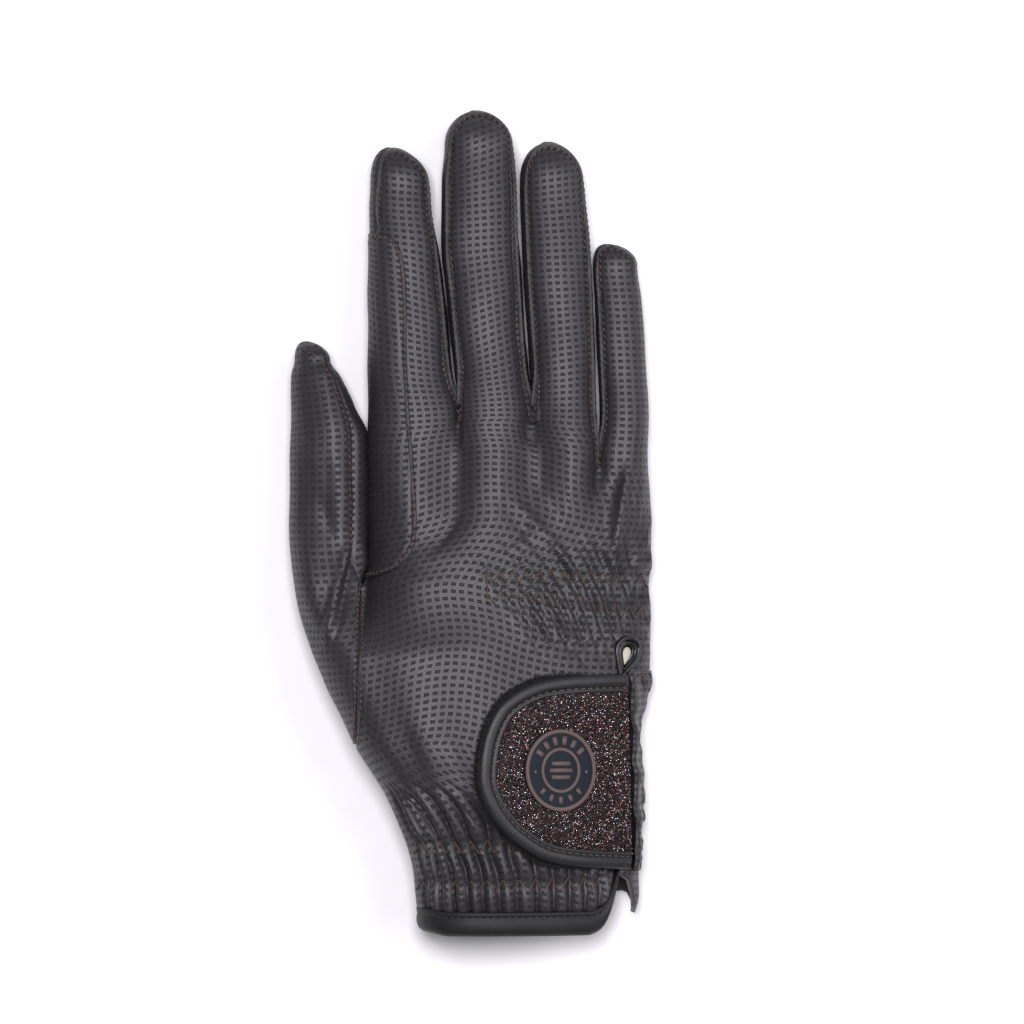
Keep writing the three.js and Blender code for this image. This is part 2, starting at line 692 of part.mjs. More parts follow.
// A panel of the skin as a thin wall, drawn back from its edges by half a seam gap.
function panel(choose, swell = 0, gap = SEAM_GAP) {
  const chosen = faces.filter(choose);
  const edges = new Map();
  for (const { corners } of chosen) {
    corners.forEach((from, k) => edges.set(from + " " + corners[(k + 1) % 3], [from, corners[(k + 1) % 3]]));
  }
  const rim = [...edges.values()].filter(([from, to]) => !edges.has(to + " " + from));
  const onRim = new Set(rim.flat());
  const numbers = new Map();
  const outer = [];
  const inner = [];
  for (const { corners } of chosen) {
    for (const corner of corners) {
      if (numbers.has(corner)) continue;
      numbers.set(corner, outer.length);
      const { point, normal } = vertices[corner];
      const place = point.clone();
      if (onRim.has(corner)) {
        const inward = new THREE.Vector3();
        for (const face of chosen) {
          if (!face.corners.includes(corner)) continue;
          for (const other of face.corners) inward.add(vertices[other].point).sub(point);
        }
        const pointed = CROTCHES.includes(vertices[corner].at) ? CROTCH_DRAW_BACK : 1;
        inward.addScaledVector(normal, -inward.dot(normal));
        place.addScaledVector(inward.normalize(), (pointed * gap) / 2);
      }
      const outside = place.clone().addScaledVector(normal, swell);
      outside.z = Math.max(0, outside.z);
      outer.push(outside);
      inner.push(place.clone().addScaledVector(normal, -LEATHER - swell));
    }
  }
  const count = outer.length;
  const triangles = [];
  for (const { corners } of chosen) {
    const [a, b, c] = corners.map((corner) => numbers.get(corner));
    triangles.push([a, b, c], [count + a, count + c, count + b]);
  }
  // Both panels beside a seam split its edge along the same diagonal.
  for (const [from, to] of rim) {
    const a = numbers.get(from);
    const b = numbers.get(to);
    if (from < to) triangles.push([a, count + a, count + b], [a, count + b, b]);
    else triangles.push([a, count + a, b], [count + a, count + b, b]);
  }
  return solid([...outer, ...inner], triangles);
}

// Heights of the smooth back of the glove along one row, from left to right.
const profiles = new Map();
function backProfile(at) {
  if (profiles.has(at)) return profiles.get(at);
  const profile = [];
  for (let index = 0; index <= LAST; index++) {
    for (let k = 0; k < PROFILE_STEPS; k++) profile.push(formPoint(index, "back", k / PROFILE_STEPS, at));
  }
  for (let k = 0; k <= PROFILE_STEPS / 2; k++) profile.push(formPoint(LAST, "right", k / PROFILE_STEPS, at));
  profiles.set(at, profile);
  return profile;
}

function backHeight(x, y) {
  const profile = backProfile(shareAlong(y));
  const k = clamp(profile.findIndex((point) => point.x > x), 1, profile.length - 1);
  const [a, b] = [profile[k - 1], profile[k]];
  return lerp(a.z, b.z, clamp((x - a.x) / (b.x - a.x), 0, PROFILE_OVERRUN));
}

function backNormal(x, y) {
  const slopeX = (backHeight(x + SLOPE_REACH, y) - backHeight(x - SLOPE_REACH, y)) / (2 * SLOPE_REACH);
  const slopeY = (backHeight(x, y + SLOPE_REACH) - backHeight(x, y - SLOPE_REACH)) / (2 * SLOPE_REACH);
  return new THREE.Vector3(-slopeX, -slopeY, 1).normalize();
}

// Point over the place x, y of the back that stands lift off the leather.
function seat(x, y, lift) {
  return new THREE.Vector3(x, y, backHeight(x, y) + lift / Math.max(FLATTEST_LIFT, backNormal(x, y).z));
}

// A slab between two grids of points, both with rows anticlockwise about the outward side.
function slab(top, bottom) {
  const rows = top.length;
  const columns = top[0].length;
  const number = (row, column, under) => (under ? rows * columns : 0) + row * columns + column;
  const triangles = [];
  const quad = (a, b, c, d) => triangles.push([a, b, c], [a, c, d]);
  for (let row = 0; row + 1 < rows; row++) {
    for (let column = 0; column + 1 < columns; column++) {
      quad(
        number(row, column),
        number(row, column + 1),
        number(row + 1, column + 1),
        number(row + 1, column),
      );
      quad(
        number(row, column, true),
        number(row + 1, column, true),
        number(row + 1, column + 1, true),
        number(row, column + 1, true),
      );
    }
    const last = columns - 1;
    quad(number(row, 0), number(row + 1, 0), number(row + 1, 0, true), number(row, 0, true));
    quad(number(row, last), number(row, last, true), number(row + 1, last, true), number(row + 1, last));
  }
  for (let column = 0; column + 1 < columns; column++) {
    const end = rows - 1;
    quad(number(0, column), number(0, column, true), number(0, column + 1, true), number(0, column + 1));
    quad(
      number(end, column),
      number(end, column + 1),
      number(end, column + 1, true),
      number(end, column, true),
    );
  }
  return solid([...top.flat(), ...bottom.flat()], triangles);
}

// A flat piece that follows the back: rings of its outline about a centre, each with its two lifts.
// The outline runs anticlockwise seen from above.
function pad(outline, centre, rings, low, high) {
  const points = [seat(centre.x, centre.y, high(0, centre)), seat(centre.x, centre.y, low(0, centre))];
  const sides = outline.length;
  const triangles = [];
  const number = (ring, side, under) => 2 + (2 * ring + (under ? 1 : 0)) * sides + (side % sides);
  rings.forEach((share) => {
    for (const lift of [high, low]) {
      for (const corner of outline) {
        const x = lerp(centre.x, corner.x, share);
        const y = lerp(centre.y, corner.y, share);
        points.push(seat(x, y, lift(share, { x, y })));
      }
    }
  });
  const outer = rings.length - 1;
  for (let side = 0; side < sides; side++) {
    triangles.push([0, number(0, side), number(0, side + 1)]);
    triangles.push([1, number(0, side + 1, true), number(0, side, true)]);
    for (let ring = 0; ring < outer; ring++) {
      const [a, b] = [number(ring, side), number(ring, side + 1)];
      const [c, d] = [number(ring + 1, side + 1), number(ring + 1, side)];
      triangles.push([a, d, c], [a, c, b]);
      const [e, f] = [number(ring, side, true), number(ring, side + 1, true)];
      const [g, h] = [number(ring + 1, side + 1, true), number(ring + 1, side, true)];
      triangles.push([e, g, h], [e, f, g]);
    }
    const [a, b] = [number(outer, side), number(outer, side + 1)];
    const [c, d] = [number(outer, side + 1, true), number(outer, side, true)];
    triangles.push([a, d, c], [a, c, b]);
  }
  return solid(points, triangles);
}

// Point and normal of the built skin between its vertices.
function builtPoint(index, part, t, at) {
  const rows = digitRows(index);
  const k = Math.max(0, rows.findIndex((row) => row > at) - 1);
  const share = (at - rows[k]) / (rows[k + 1] - rows[k]);
  const column = Math.min(columnsOf[part] - 1, Math.floor(t * columnsOf[part]));
  const between = t * columnsOf[part] - column;
  const corner = (side, row) => vertices[vertex(index, part, column + side, rows[k + row], false)];
  const mix = (name) => {
    const low = corner(0, 0)[name].clone().lerp(corner(1, 0)[name], between);
    return low.lerp(corner(0, 1)[name].clone().lerp(corner(1, 1)[name], between), share);
  };
  return { point: mix("point"), normal: mix("normal").normalize() };
}

function indexPatch() {
  const low = PATCH[0].at;
  const high = PATCH[PATCH.length - 1].at;
  const between = digitRows(1).filter((at) => at > low + NEAREST_ROW && at < high - NEAREST_ROW);
  const rows = [low, ...between, high];
  const layer = (lift) => rows.map((at) => {
    const edge = read(PATCH, "back", at);
    const back = PATCH_BACK_STEPS.map((step) => builtPoint(1, "back", edge * step, at));
    const sideAt = Math.max(at, PATCH_SIDE_LOW + (at - low) * PATCH_SIDE_RISE);
    const side = PATCH_SIDE_STEPS.map((step) => builtPoint(1, "left", step, sideAt));
    return [...back, ...side].reverse().map(({ point, normal }) => {
      const place = point.clone().addScaledVector(normal, lift);
      place.z = Math.max(SEAT_GAP, place.z);
      return place;
    });
  });
  return slab(layer(PATCH_LIFT + PATCH_THICKNESS), layer(PATCH_LIFT));
}

// Outline of the tab, drawn in by a distance: the bound edge from the upper sewn corner to the lower one.
function tabEdge(drawnIn) {
  const corners = TAB_EDGE.map(({ along, across }) => new THREE.Vector3(
    placeAcross(TAB_END) - along * TAB_REACH - (across < 0 ? across * TAB_LEAN : 0),
    placeAlong(TAB_MIDDLE) + (across * TAB_HEIGHT) / 2,
    0,
  ));
  const curve = new THREE.CatmullRomCurve3(corners, false, "centripetal");
  const points = curve.getSpacedPoints(TAB_STEPS);
  return points.map((point, k) => {
    const along = curve.getTangentAt(k / TAB_STEPS);
    return point.clone().add(new THREE.Vector3(-along.y, along.x, 0).multiplyScalar(drawnIn));
  });
}

const tabAlong = (x) => (placeAcross(TAB_END) - x) / TAB_REACH;
const onTabMiddle = (along) =>
  new THREE.Vector3(placeAcross(TAB_END) - TAB_REACH * along, placeAlong(TAB_MIDDLE), 0);
function tabLift(x) {
  const raised = SEAT_GAP + HOOK_PAD_THICKNESS + SEAT_GAP;
  return lerp(SEWN_LIFT, raised, smoothStep(TAB_LIFTED.low, TAB_LIFTED.high, tabAlong(x)));
}

function tabField() {
  const bound = tabEdge(TAB_BINDING_WIDTH + SEAT_GAP);
  const low = (share, { x }) => tabLift(x);
  const high = (share, { x }) => tabLift(x) + TAB_THICKNESS;
  return pad(bound, onTabMiddle(TAB_CENTRE), PAD_RINGS, low, high);
}

function tabBinding() {
  const layer = (lift) => BINDING_SECTION.map(({ across, height }) =>
    tabEdge(across * TAB_BINDING_WIDTH).map(({ x, y }) => seat(x, y, tabLift(x) + lift * height)));
  return slab(layer(TAB_BINDING_THICKNESS), layer(0));
}

function hookPad() {
  const round = tabEdge(-HOOK_PAD_OVERHANG).filter(({ x }) => tabAlong(x) > HOOK_PAD_END);
  const straight = Array.from({ length: HOOK_PAD_STRAIGHT_STEPS - 1 }, (_, k) =>
    round[round.length - 1].clone().lerp(round[0], (k + 1) / HOOK_PAD_STRAIGHT_STEPS));
  const outline = [...round, ...straight];
  const centre = onTabMiddle(HOOK_PAD_CENTRE);
  return pad(outline, centre, PAD_RINGS, () => SEAT_GAP, () => SEAT_GAP + HOOK_PAD_THICKNESS);
}

// Round badge, flat on the tab: plain raised rings about a sunk field.
function badge() {
  const centre = new THREE.Vector3(placeAcross(BADGE_PLACE.across), placeAlong(BADGE_PLACE.at), 0);
  const normal = backNormal(centre.x, centre.y);
  const across = new THREE.Vector3(1, 0, 0).addScaledVector(normal, -normal.x).normalize();
  const along = new THREE.Vector3().crossVectors(normal, across);
  const radius = BADGE_DIAMETER / 2;
  const ring = BADGE_RING_WIDTH / radius;
  const outline = Array.from({ length: BADGE_SIDES }, (_, k) => {
    const angle = (k * 2 * Math.PI) / BADGE_SIDES;
    return centre.clone()
      .addScaledVector(across, radius * Math.cos(angle))
      .addScaledVector(along, radius * Math.sin(angle));
  });
  const raised = [
    [BADGE_INNER_RING - ring, BADGE_INNER_RING],
    [1 - ring, 1],
  ];
  const rings = raised
    .flatMap(([from, to]) => [from - BADGE_RIDGE, from, to, to + BADGE_RIDGE])
    .filter((share) => share <= 1);
  const slack = BADGE_RIDGE / 2;
  const onRing = (share) => raised.some(([from, to]) => share >= from - slack && share <= to + slack);
  const base = tabLift(centre.x) + TAB_THICKNESS + SEAT_GAP;
  const top = (share) => base + BADGE_THICKNESS + (onRing(share) ? BADGE_RING_HEIGHT : 0);
  return pad(outline, centre, rings, () => base, top);
}

function eyeletPiping() {
  const radius = PIPING_DIAMETER / 2;
  const low = placeAlong(TAB_MIDDLE) + (TAB_EDGE[0].across * TAB_HEIGHT) / 2 + PIPING_GAP + radius;
  const points = Array.from({ length: PIPING_STEPS }, (_, k) => {
    const angle = (k * 2 * Math.PI) / PIPING_STEPS;
    const y = low + ((1 - Math.cos(angle)) / 2) * PIPING_LENGTH;
    const line = placeAcross(read(HAND, "slit", shareAlong(y)));
    const swell = (Math.sin(angle) * Math.sqrt(Math.sin(angle / 2))) / PIPING_FULLEST;
    return seat(line + (swell * PIPING_WIDTH) / 2, y, PIPING_LIFT + radius);
  });
  const path = new THREE.CatmullRomCurve3(points, true);
  return new THREE.TubeGeometry(path, 2 * PIPING_STEPS, radius, PIPING_SIDES, true);
}

const inBinding = (face) => face.low < HEM_BINDING_TOP && face.part !== "right";
const onThumb = (face) => face.index === 0 && face.low >= THUMB_PANEL_END;
const gusset = (crotch) => (face) =>
  !face.tip &&
  ((face.index === crotch && face.part === "right") || (face.index === crotch + 1 && face.part === "left"));
const inGusset = (face) => [0, 1, 2, 3].some((crotch) => gusset(crotch)(face));
const onPalm = (face) => face.part === "palm" && !onThumb(face) && !inBinding(face);
const onBack = (face) => !onPalm(face) && !onThumb(face) && !inBinding(face) && !inGusset(face);

const leather = new THREE.MeshStandardMaterial({ color: 0x3d3b40, roughness: 0.5, metalness: 0 });
const boundLeather = new THREE.MeshStandardMaterial({ color: 0x2a2a2e, roughness: 0.35, metalness: 0 });
const glitterCloth = new THREE.MeshStandardMaterial({ color: 0x2c2023, roughness: 0.6, metalness: 0.2 });
const hookTape = new THREE.MeshStandardMaterial({ color: 0x111113, roughness: 0.9, metalness: 0 });
const rubber = new THREE.MeshStandardMaterial({ color: 0x2b333b, roughness: 0.6, metalness: 0 });

const glove = new THREE.Group();
function add(name, geometry, material) {
  const mesh = new THREE.Mesh(geometry, material);
  mesh.name = name;
  glove.add(mesh);
}

add("back_panel", panel(onBack), leather);
add("palm_panel", panel(onPalm), leather);
add("thumb_panel", panel((face) => onThumb(face) && !inGusset(face)), leather);
const besideGussets = [onBack, onPalm, (face) => onThumb(face) && !inGusset(face)];
const cutters = besideGussets.flatMap((choose) => [
  solidOf(panel(choose)),
  solidOf(panel(choose, GUSSET_TRIM, TRIM_SEAM_GAP)),
]);
["thumb", "index", "middle", "ring"].forEach((name, crotch) => {
  const strip = solidOf(panel(gusset(crotch), 0, GUSSET_GAP));
  add("gusset_" + name, geometryOf(largestBody(strip.subtract(wasm.Manifold.union(cutters)))), leather);
});
add("cuff_binding", panel(inBinding, HEM_BINDING_SWELL, GUSSET_GAP), leather);
add("index_patch", indexPatch(), leather);
add("slit_piping", eyeletPiping(), boundLeather);
add("closure_tab", tabField(), glitterCloth);
add("tab_binding", tabBinding(), boundLeather);
add("hook_pad", hookPad(), hookTape);
add("tab_badge", badge(), rubber);

export default glove;
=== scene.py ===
"""Looks of a right-hand horse riding glove that lies palm down: leather skin, welted seams, stitches,
elastic rows, closure tab with glitter cloth and a badge. Sizes are in millimetres until a mesh is made."""

import math

import bpy
import numpy as np
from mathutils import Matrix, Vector
from mathutils.bvhtree import BVHTree


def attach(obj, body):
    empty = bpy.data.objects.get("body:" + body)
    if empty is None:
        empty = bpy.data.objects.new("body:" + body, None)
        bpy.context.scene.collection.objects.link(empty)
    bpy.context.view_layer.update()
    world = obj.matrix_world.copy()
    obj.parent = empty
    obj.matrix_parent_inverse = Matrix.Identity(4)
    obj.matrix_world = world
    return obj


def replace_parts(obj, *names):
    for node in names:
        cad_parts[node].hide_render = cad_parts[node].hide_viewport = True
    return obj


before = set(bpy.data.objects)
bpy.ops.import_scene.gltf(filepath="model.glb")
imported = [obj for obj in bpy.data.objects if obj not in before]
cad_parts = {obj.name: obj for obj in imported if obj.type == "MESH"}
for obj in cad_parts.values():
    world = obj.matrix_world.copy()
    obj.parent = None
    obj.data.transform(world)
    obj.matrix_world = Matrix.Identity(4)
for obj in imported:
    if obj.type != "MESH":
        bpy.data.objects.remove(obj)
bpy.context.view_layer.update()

MM = 0.001
TINY = 1e-9
LENGTH = 231.0  # middle fingertip to the hem
BREADTH = 80.0  # across the four knuckles
DEPTH = 38.0  # back to palm at the wrist
HAND_POWER = 2.35  # how square a section of the hand is
DIGIT_POWER = 2.5
WIDEST_AT = 0.42  # share of a section's height where it is widest
PALM_SEAM = math.radians(35)
NARROWEST_STRIP = math.radians(4)
LAST = 4  # number of the little finger; the thumb is 0

# Mesh fineness
COLUMNS = {"back": 30, "palm": 10, "left": 8, "right": 8}
ROW_STEP = 0.0039
TIP_STEPS = 12


def table(columns, *rows):
    """A table's columns as named arrays."""
    return dict(zip(columns.split(), np.array(rows, float).T))


def read(rows, column, at):
    """One column between the rows of a table, with slopes that never overshoot."""
    x, y = rows["at"], rows[column]
    secant = np.diff(y) / np.diff(x)
    slope = np.zeros(len(x))
    product = secant[:-1] * secant[1:]
    total = np.where(product > 0, secant[:-1] + secant[1:], 1.0)
    slope[1:-1] = np.where(product > 0, 2 * product / total, 0.0)
    at = np.clip(at, x[0], x[-1])
    k = np.clip(np.searchsorted(x, at, side="right") - 1, 0, len(x) - 2)
    step = x[k + 1] - x[k]
    t = (at - x[k]) / step
    rise = y[k + 1] - y[k]
    m0, m1 = slope[k] * step, slope[k + 1] * step
    return y[k] + t * (m0 + t * (3 * rise - 2 * m0 - m1 + t * (m0 + m1 - 2 * rise)))


def smooth(low, high, value):
    """A soft step from 0 at low to 1 at high."""
    t = np.clip((value - low) / (high - low), 0, 1)
    return t * t * (3 - 2 * t)


def signed_power(value, power):
    return np.sign(value) * np.abs(value) ** power


def mix(a, b, t):
    """The value a share t of the way from a to b."""
    return a + (b - a) * t


def hump(value, grows, fades):
    """1 between the end of grows and the start of fades, 0 outside them."""
    return smooth(*grows, value) * (1 - smooth(*fades, value))


def unit(vectors):
    """The same directions with a length of one."""
    return vectors / np.maximum(np.linalg.norm(vectors, axis=-1, keepdims=True), TINY)


def reach_along(line):
    """Distance of each point from the line's first point, measured along it."""
    return np.concatenate([[0], np.cumsum(np.linalg.norm(np.diff(line, axis=0), axis=1))])


def eased(values):
    """The inner values, each moved halfway towards the mean of its neighbours."""
    return (values[:-2] + 2 * values[1:-1] + values[2:]) / 4


def numbered(rows, columns):
    """The numbers of a grid's places, row by row."""
    return np.arange(rows * columns).reshape(rows, columns)


def grid_faces(number):
    """Four-cornered faces of a numbered grid of places."""
    return np.stack([number[:-1, :-1], number[:-1, 1:], number[1:, 1:], number[1:, :-1]], -1).reshape(-1, 4)


# In the tables of the form, at is a share of LENGTH from the hem, left and right are shares of BREADTH
# from the middle, and heights are shares of DEPTH.
HAND = table(
    "at left right top bottom tilt slit seam",
    [0.0, -0.177, 0.56, 0.9, -0.03, 0.22, 0.5, 20],
    [0.05, -0.195, 0.592, 0.95, -0.04, 0.24, 0.512, 20],
    [0.1, -0.218, 0.59, 0.97, -0.05, 0.25, 0.527, 20],
    [0.17, -0.305, 0.602, 1.0, -0.06, 0.25, 0.535, 16],
    [0.204, -0.359, 0.597, 1.0, -0.06, 0.24, 0.535, 10],
    [0.24, -0.425, 0.586, 0.98, -0.06, 0.22, 0.53, 7],
    [0.277, -0.478, 0.607, 0.96, -0.06, 0.19, 0.528, 11],
    [0.313, -0.523, 0.63, 0.93, -0.06, 0.16, 0.53, 17],
    [0.341, -0.56, 0.63, 0.91, -0.06, 0.14, 0.55, 21],
    [0.368, -0.586, 0.632, 0.88, -0.06, 0.12, 0.553, 25],
    [0.422, -0.618, 0.626, 0.83, -0.06, 0.09, 0.555, 30],
)
KNUCKLES = table(
    "at left right top bottom tilt",
    [0.3, -0.386, 0.625, 0.9, -0.06, 0.16],
    [0.38, -0.382, 0.632, 0.86, -0.06, 0.11],
    [0.422, -0.38, 0.626, 0.82, -0.06, 0.09],
    [0.445, -0.356, 0.636, 0.8, -0.05, 0.08],
    [0.477, -0.352, 0.639, 0.78, -0.05, 0.06],
    [0.55, -0.352, 0.628, 0.74, -0.03, 0.03],
    [0.62, -0.352, 0.621, 0.7, -0.02, 0.0],
)
THUMB_LINE = table(
    "at across",
    [0.0, -0.05],
    [0.11, -0.1],
    [0.17, -0.23],
    [0.228, -0.402],
    [0.3, -0.4],
    [0.422, -0.381],
    [0.62, -0.38],
)
THUMB_CROTCH, FINGER_CROTCH, LITTLE_CROTCH = 0.422, 0.62, 0.564
CROTCHES = [THUMB_CROTCH, FINGER_CROTCH, FINGER_CROTCH, LITTLE_CROTCH]
THUMB = table(
    "at left right top bottom",
    [0.3, -0.505, -0.388, 0.74, -0.05],
    [0.368, -0.586, -0.384, 0.68, -0.05],
    [0.422, -0.618, -0.38, 0.64, -0.04],
    [0.45, -0.628, -0.379, 0.62, -0.03],
    [0.513, -0.639, -0.376, 0.58, 0.0],
    [0.604, -0.635, -0.378, 0.54, 0.02],
    [0.641, -0.635, -0.408, 0.51, 0.05],
    [0.677, -0.628, -0.457, 0.46, 0.09],
    [0.695, -0.614, -0.492, 0.42, 0.12],
)
INDEX = table(
    "at left right top bottom",
    [0.44, -0.352, -0.047, 0.72, -0.03],
    [0.62, -0.352, -0.037, 0.64, 0.0],
    [0.677, -0.352, -0.068, 0.6, 0.03],
    [0.768, -0.352, -0.0945, 0.54, 0.06],
    [0.837, -0.352, -0.119, 0.49, 0.06],
    [0.88, -0.3535, -0.138, 0.46, 0.05],
    [0.911, -0.348, -0.142, 0.43, 0.04],
)
MIDDLE = table(
    "at left right top bottom",
    [0.44, -0.047, 0.217, 0.76, -0.03],
    [0.62, -0.037, 0.219, 0.68, 0.0],
    [0.677, -0.061, 0.198, 0.63, 0.03],
    [0.768, -0.0875, 0.1785, 0.57, 0.06],
    [0.837, -0.107, 0.168, 0.53, 0.06],
    [0.911, -0.107, 0.161, 0.48, 0.05],
    [0.957, -0.096, 0.152, 0.44, 0.04],
)
RING = table(
    "at left right top bottom",
    [0.44, 0.217, 0.447, 0.74, -0.03],
    [0.564, 0.219, 0.446, 0.68, -0.01],
    [0.62, 0.219, 0.439, 0.65, 0.0],
    [0.677, 0.205, 0.434, 0.6, 0.03],
    [0.768, 0.1855, 0.425, 0.54, 0.06],
    [0.837, 0.175, 0.4165, 0.49, 0.06],
    [0.915, 0.168, 0.397, 0.43, 0.04],
)
LITTLE = table(
    "at left right top bottom",
    [0.44, 0.447, 0.638, 0.62, -0.03],
    [0.564, 0.446, 0.625, 0.56, 0.0],
    [0.62, 0.4515, 0.621, 0.52, 0.02],
    [0.677, 0.446, 0.618, 0.48, 0.04],
    [0.768, 0.434, 0.6, 0.41, 0.05],
    [0.811, 0.427, 0.581, 0.37, 0.05],
)
# tip: where the digit ends; lean: place of the tip across; left and right: its seams' angles in degrees
DIGITS = [
    {"rows": THUMB, "tip": 0.718, "lean": -0.575, "left": 30, "right": 50},
    {"rows": INDEX, "tip": 0.954, "lean": -0.275, "left": 47, "right": 33},
    {"rows": MIDDLE, "tip": 1.0, "lean": 0.023, "left": 46, "right": 33},
    {"rows": RING, "tip": 0.961, "lean": 0.271, "left": 47, "right": 30},
    {"rows": LITTLE, "tip": 0.838, "lean": 0.478, "left": 47, "right": 30},
]
CROTCH_EASE = 0.07
THUMB_TILT_FADE = (THUMB_CROTCH, 0.5)  # the tilt of the hand dies out along the thumb
CROTCH_ANGLE = 12  # how high the index finger's side seam starts at the thumb, in degrees
CROTCH_ANGLE_FADE = (THUMB_CROTCH, 0.52)
HAND_TO_DIGITS = (0.331, 0.418)  # where the hand's sections turn into those of the knuckles and the thumb
KNUCKLES_TO_FINGERS = (0.45, 0.56)
THUMB_PANEL_END = 0.228
BINDING_TOP = 0.024
SLIT_TOP = 0.357
SLIT_GAP = 0.7
EYELET = {"low": 0.316, "middle": 0.341, "width": 3.8}
# How far the hem rises, as a share of LENGTH; at is a share of the way across the back, side or palm
BACK_HEM = table("at rise", [0, 0.006], [0.15, 0.002], [0.85, 0.002], [0.93, 0.008], [0.97, 0.024], [1, 0.056])
SIDE_HEM = table("at rise", [0, 0.073], [0.5, 0.024], [1, 0.052])
PALM_HEM = table("at rise", [0, 0.008], [0.4, 0.02], [1, 0.052])
HEM_FADE = 0.2

LEATHER = 1.3
SEAM_SINK = 0.45  # groove where two panels meet
# How far each finger's side strip stands out of the smooth form, on its left and on its right
SIDE_LEFT = [0.0, 0.3, -0.3, -0.3, -0.1]
SIDE_RIGHT = [1.9, -0.3, -0.3, -0.1, 0.0]
SIDE_TOUCHES = [0.0, 0.8, 0.8, 0.5, 0.0]  # more on the right, up to where two fingers part
FINGERS_PART = (0.8, 0.88)


def section(rows, at, power):
    """Facts of the section across the hand or a digit at a row."""
    left, right = BREADTH * read(rows, "left", at), BREADTH * read(rows, "right", at)
    top, bottom = DEPTH * read(rows, "top", at), DEPTH * read(rows, "bottom", at)
    centre = (left + right) / 2
    middle = bottom + (top - bottom) * WIDEST_AT
    return {
        "centre": centre,
        "left": centre - left,
        "right": right - centre,
        "middle": middle,
        "above": top - middle,
        "below": middle - bottom,
        "power": power,
    }


def on_section(s, angle):
    """Place on a section at an angle about its middle, 0 on its right."""
    c = signed_power(np.cos(angle), 2 / s["power"])
    v = signed_power(np.sin(angle), 2 / s["power"])
    x = s["centre"] + c * np.where(c > 0, s["right"], s["left"])
    return np.stack([x, s["middle"] + v * np.where(v > 0, s["above"], s["below"])], -1)


def angle_at(s, x):
    """Angle of the back at a place across a section."""
    half = np.where(x > s["centre"], s["right"], s["left"])
    share = np.clip((x - s["centre"]) / half, -0.999, 0.999)
    return np.arccos(signed_power(share, s["power"] / 2))


def along_section(s, start, end, t):
    """Point between two angles, spaced halfway between even angles and even places across."""
    a, b = on_section(s, start)[..., 0], on_section(s, end)[..., 0]
    x = (mix(a, b, t) + on_section(s, mix(start, end, t))[..., 0]) / 2
    half = np.where(x > s["centre"], s["right"], s["left"])
    share = np.minimum(1, np.abs(x - s["centre"]) / np.maximum(half, TINY))
    height = (1 - share ** s["power"]) ** (1 / s["power"])
    above = np.sin((start + end) / 2) > 0
    return np.stack([x, s["middle"] + height * np.where(above, s["above"], -s["below"])], -1)


def joined(crotch, at):
    """1 up to a crotch, and 0 where the two digits beside it have parted."""
    return 1 - smooth(CROTCHES[crotch], CROTCHES[crotch] + CROTCH_EASE, at)


def digit_section(index, at):
    """Section of a digit, which shrinks to a round tip."""
    digit = DIGITS[index]
    rows = digit["rows"]
    round_from = rows["at"][-1]
    s = section(rows, np.minimum(at, round_from), DIGIT_POWER)
    along = np.clip((at - round_from) / (digit["tip"] - round_from), 0, 1)
    shrink = np.sqrt(1 - along * along)
    s["centre"] = mix(s["centre"], BREADTH * digit["lean"], along * along)
    for side in ("left", "right", "above", "below"):
        s[side] = s[side] * shrink
    return s


def digit_point(index, part, t, at):
    """Places across one strip of a digit: its back, palm, left side or right side."""
    digit = DIGITS[index]
    s = digit_section(index, at)
    left_join = joined(index - 1, at) if index > 0 else 0 * at
    right_join = joined(index, at) if index < LAST else 0 * at
    left_angle, right_angle = math.radians(digit["left"]), math.radians(digit["right"])

    def reach(angle):
        return math.cos(angle) ** (2 / DIGIT_POWER)

    if part in ("left", "right"):
        join = left_join if part == "left" else right_join
        angle = mix(left_angle if part == "left" else right_angle, -PALM_SEAM, t)
        point = on_section(s, np.pi - angle if part == "left" else angle)
        full = -s["left"] if part == "left" else s["right"]
        point[..., 0] = mix(point[..., 0], s["centre"] + full, join)
        return point
    back = part == "back"
    start = np.pi - left_angle if back else np.pi + PALM_SEAM
    end = right_angle if back else 2 * np.pi - PALM_SEAM
    wide = dict(s)
    wide["left"] = s["left"] / mix(1, reach(left_angle if back else PALM_SEAM), left_join)
    wide["right"] = s["right"] / mix(1, reach(right_angle if back else PALM_SEAM), right_join)
    return along_section(wide, start, end, t)


def knuckle_point(index, part, t, at):
    """Places across one strip where the four fingers are still one section."""
    s = section(KNUCKLES, at, HAND_POWER)
    left_angle = np.radians(mix(CROTCH_ANGLE, DIGITS[1]["left"], smooth(*CROTCH_ANGLE_FADE, at)))
    right_angle = math.radians(DIGITS[LAST]["right"])
    if part == "left":
        return on_section(s, np.pi - mix(left_angle, -PALM_SEAM, t))
    if part == "right":
        return on_section(s, mix(right_angle, -PALM_SEAM, t))
    share = (index - 1 + t) / LAST
    if part == "back":
        return along_section(s, np.pi - left_angle, right_angle, share)
    return along_section(s, np.pi + PALM_SEAM, 2 * np.pi - PALM_SEAM, share)


def slit_half(at):
    """Half the width of the wrist slit, with its round upper end."""
    hole = smooth(EYELET["low"], EYELET["middle"], at)
    over = np.clip((at - EYELET["middle"]) / (SLIT_TOP - EYELET["middle"]), 0, 1)
    open_share = np.where(at < EYELET["middle"], hole, np.sqrt(1 - over**2))
    gap = np.where(at < EYELET["middle"], SLIT_GAP, SLIT_GAP * (1 - over))
    return mix(gap, EYELET["width"], open_share) / 2


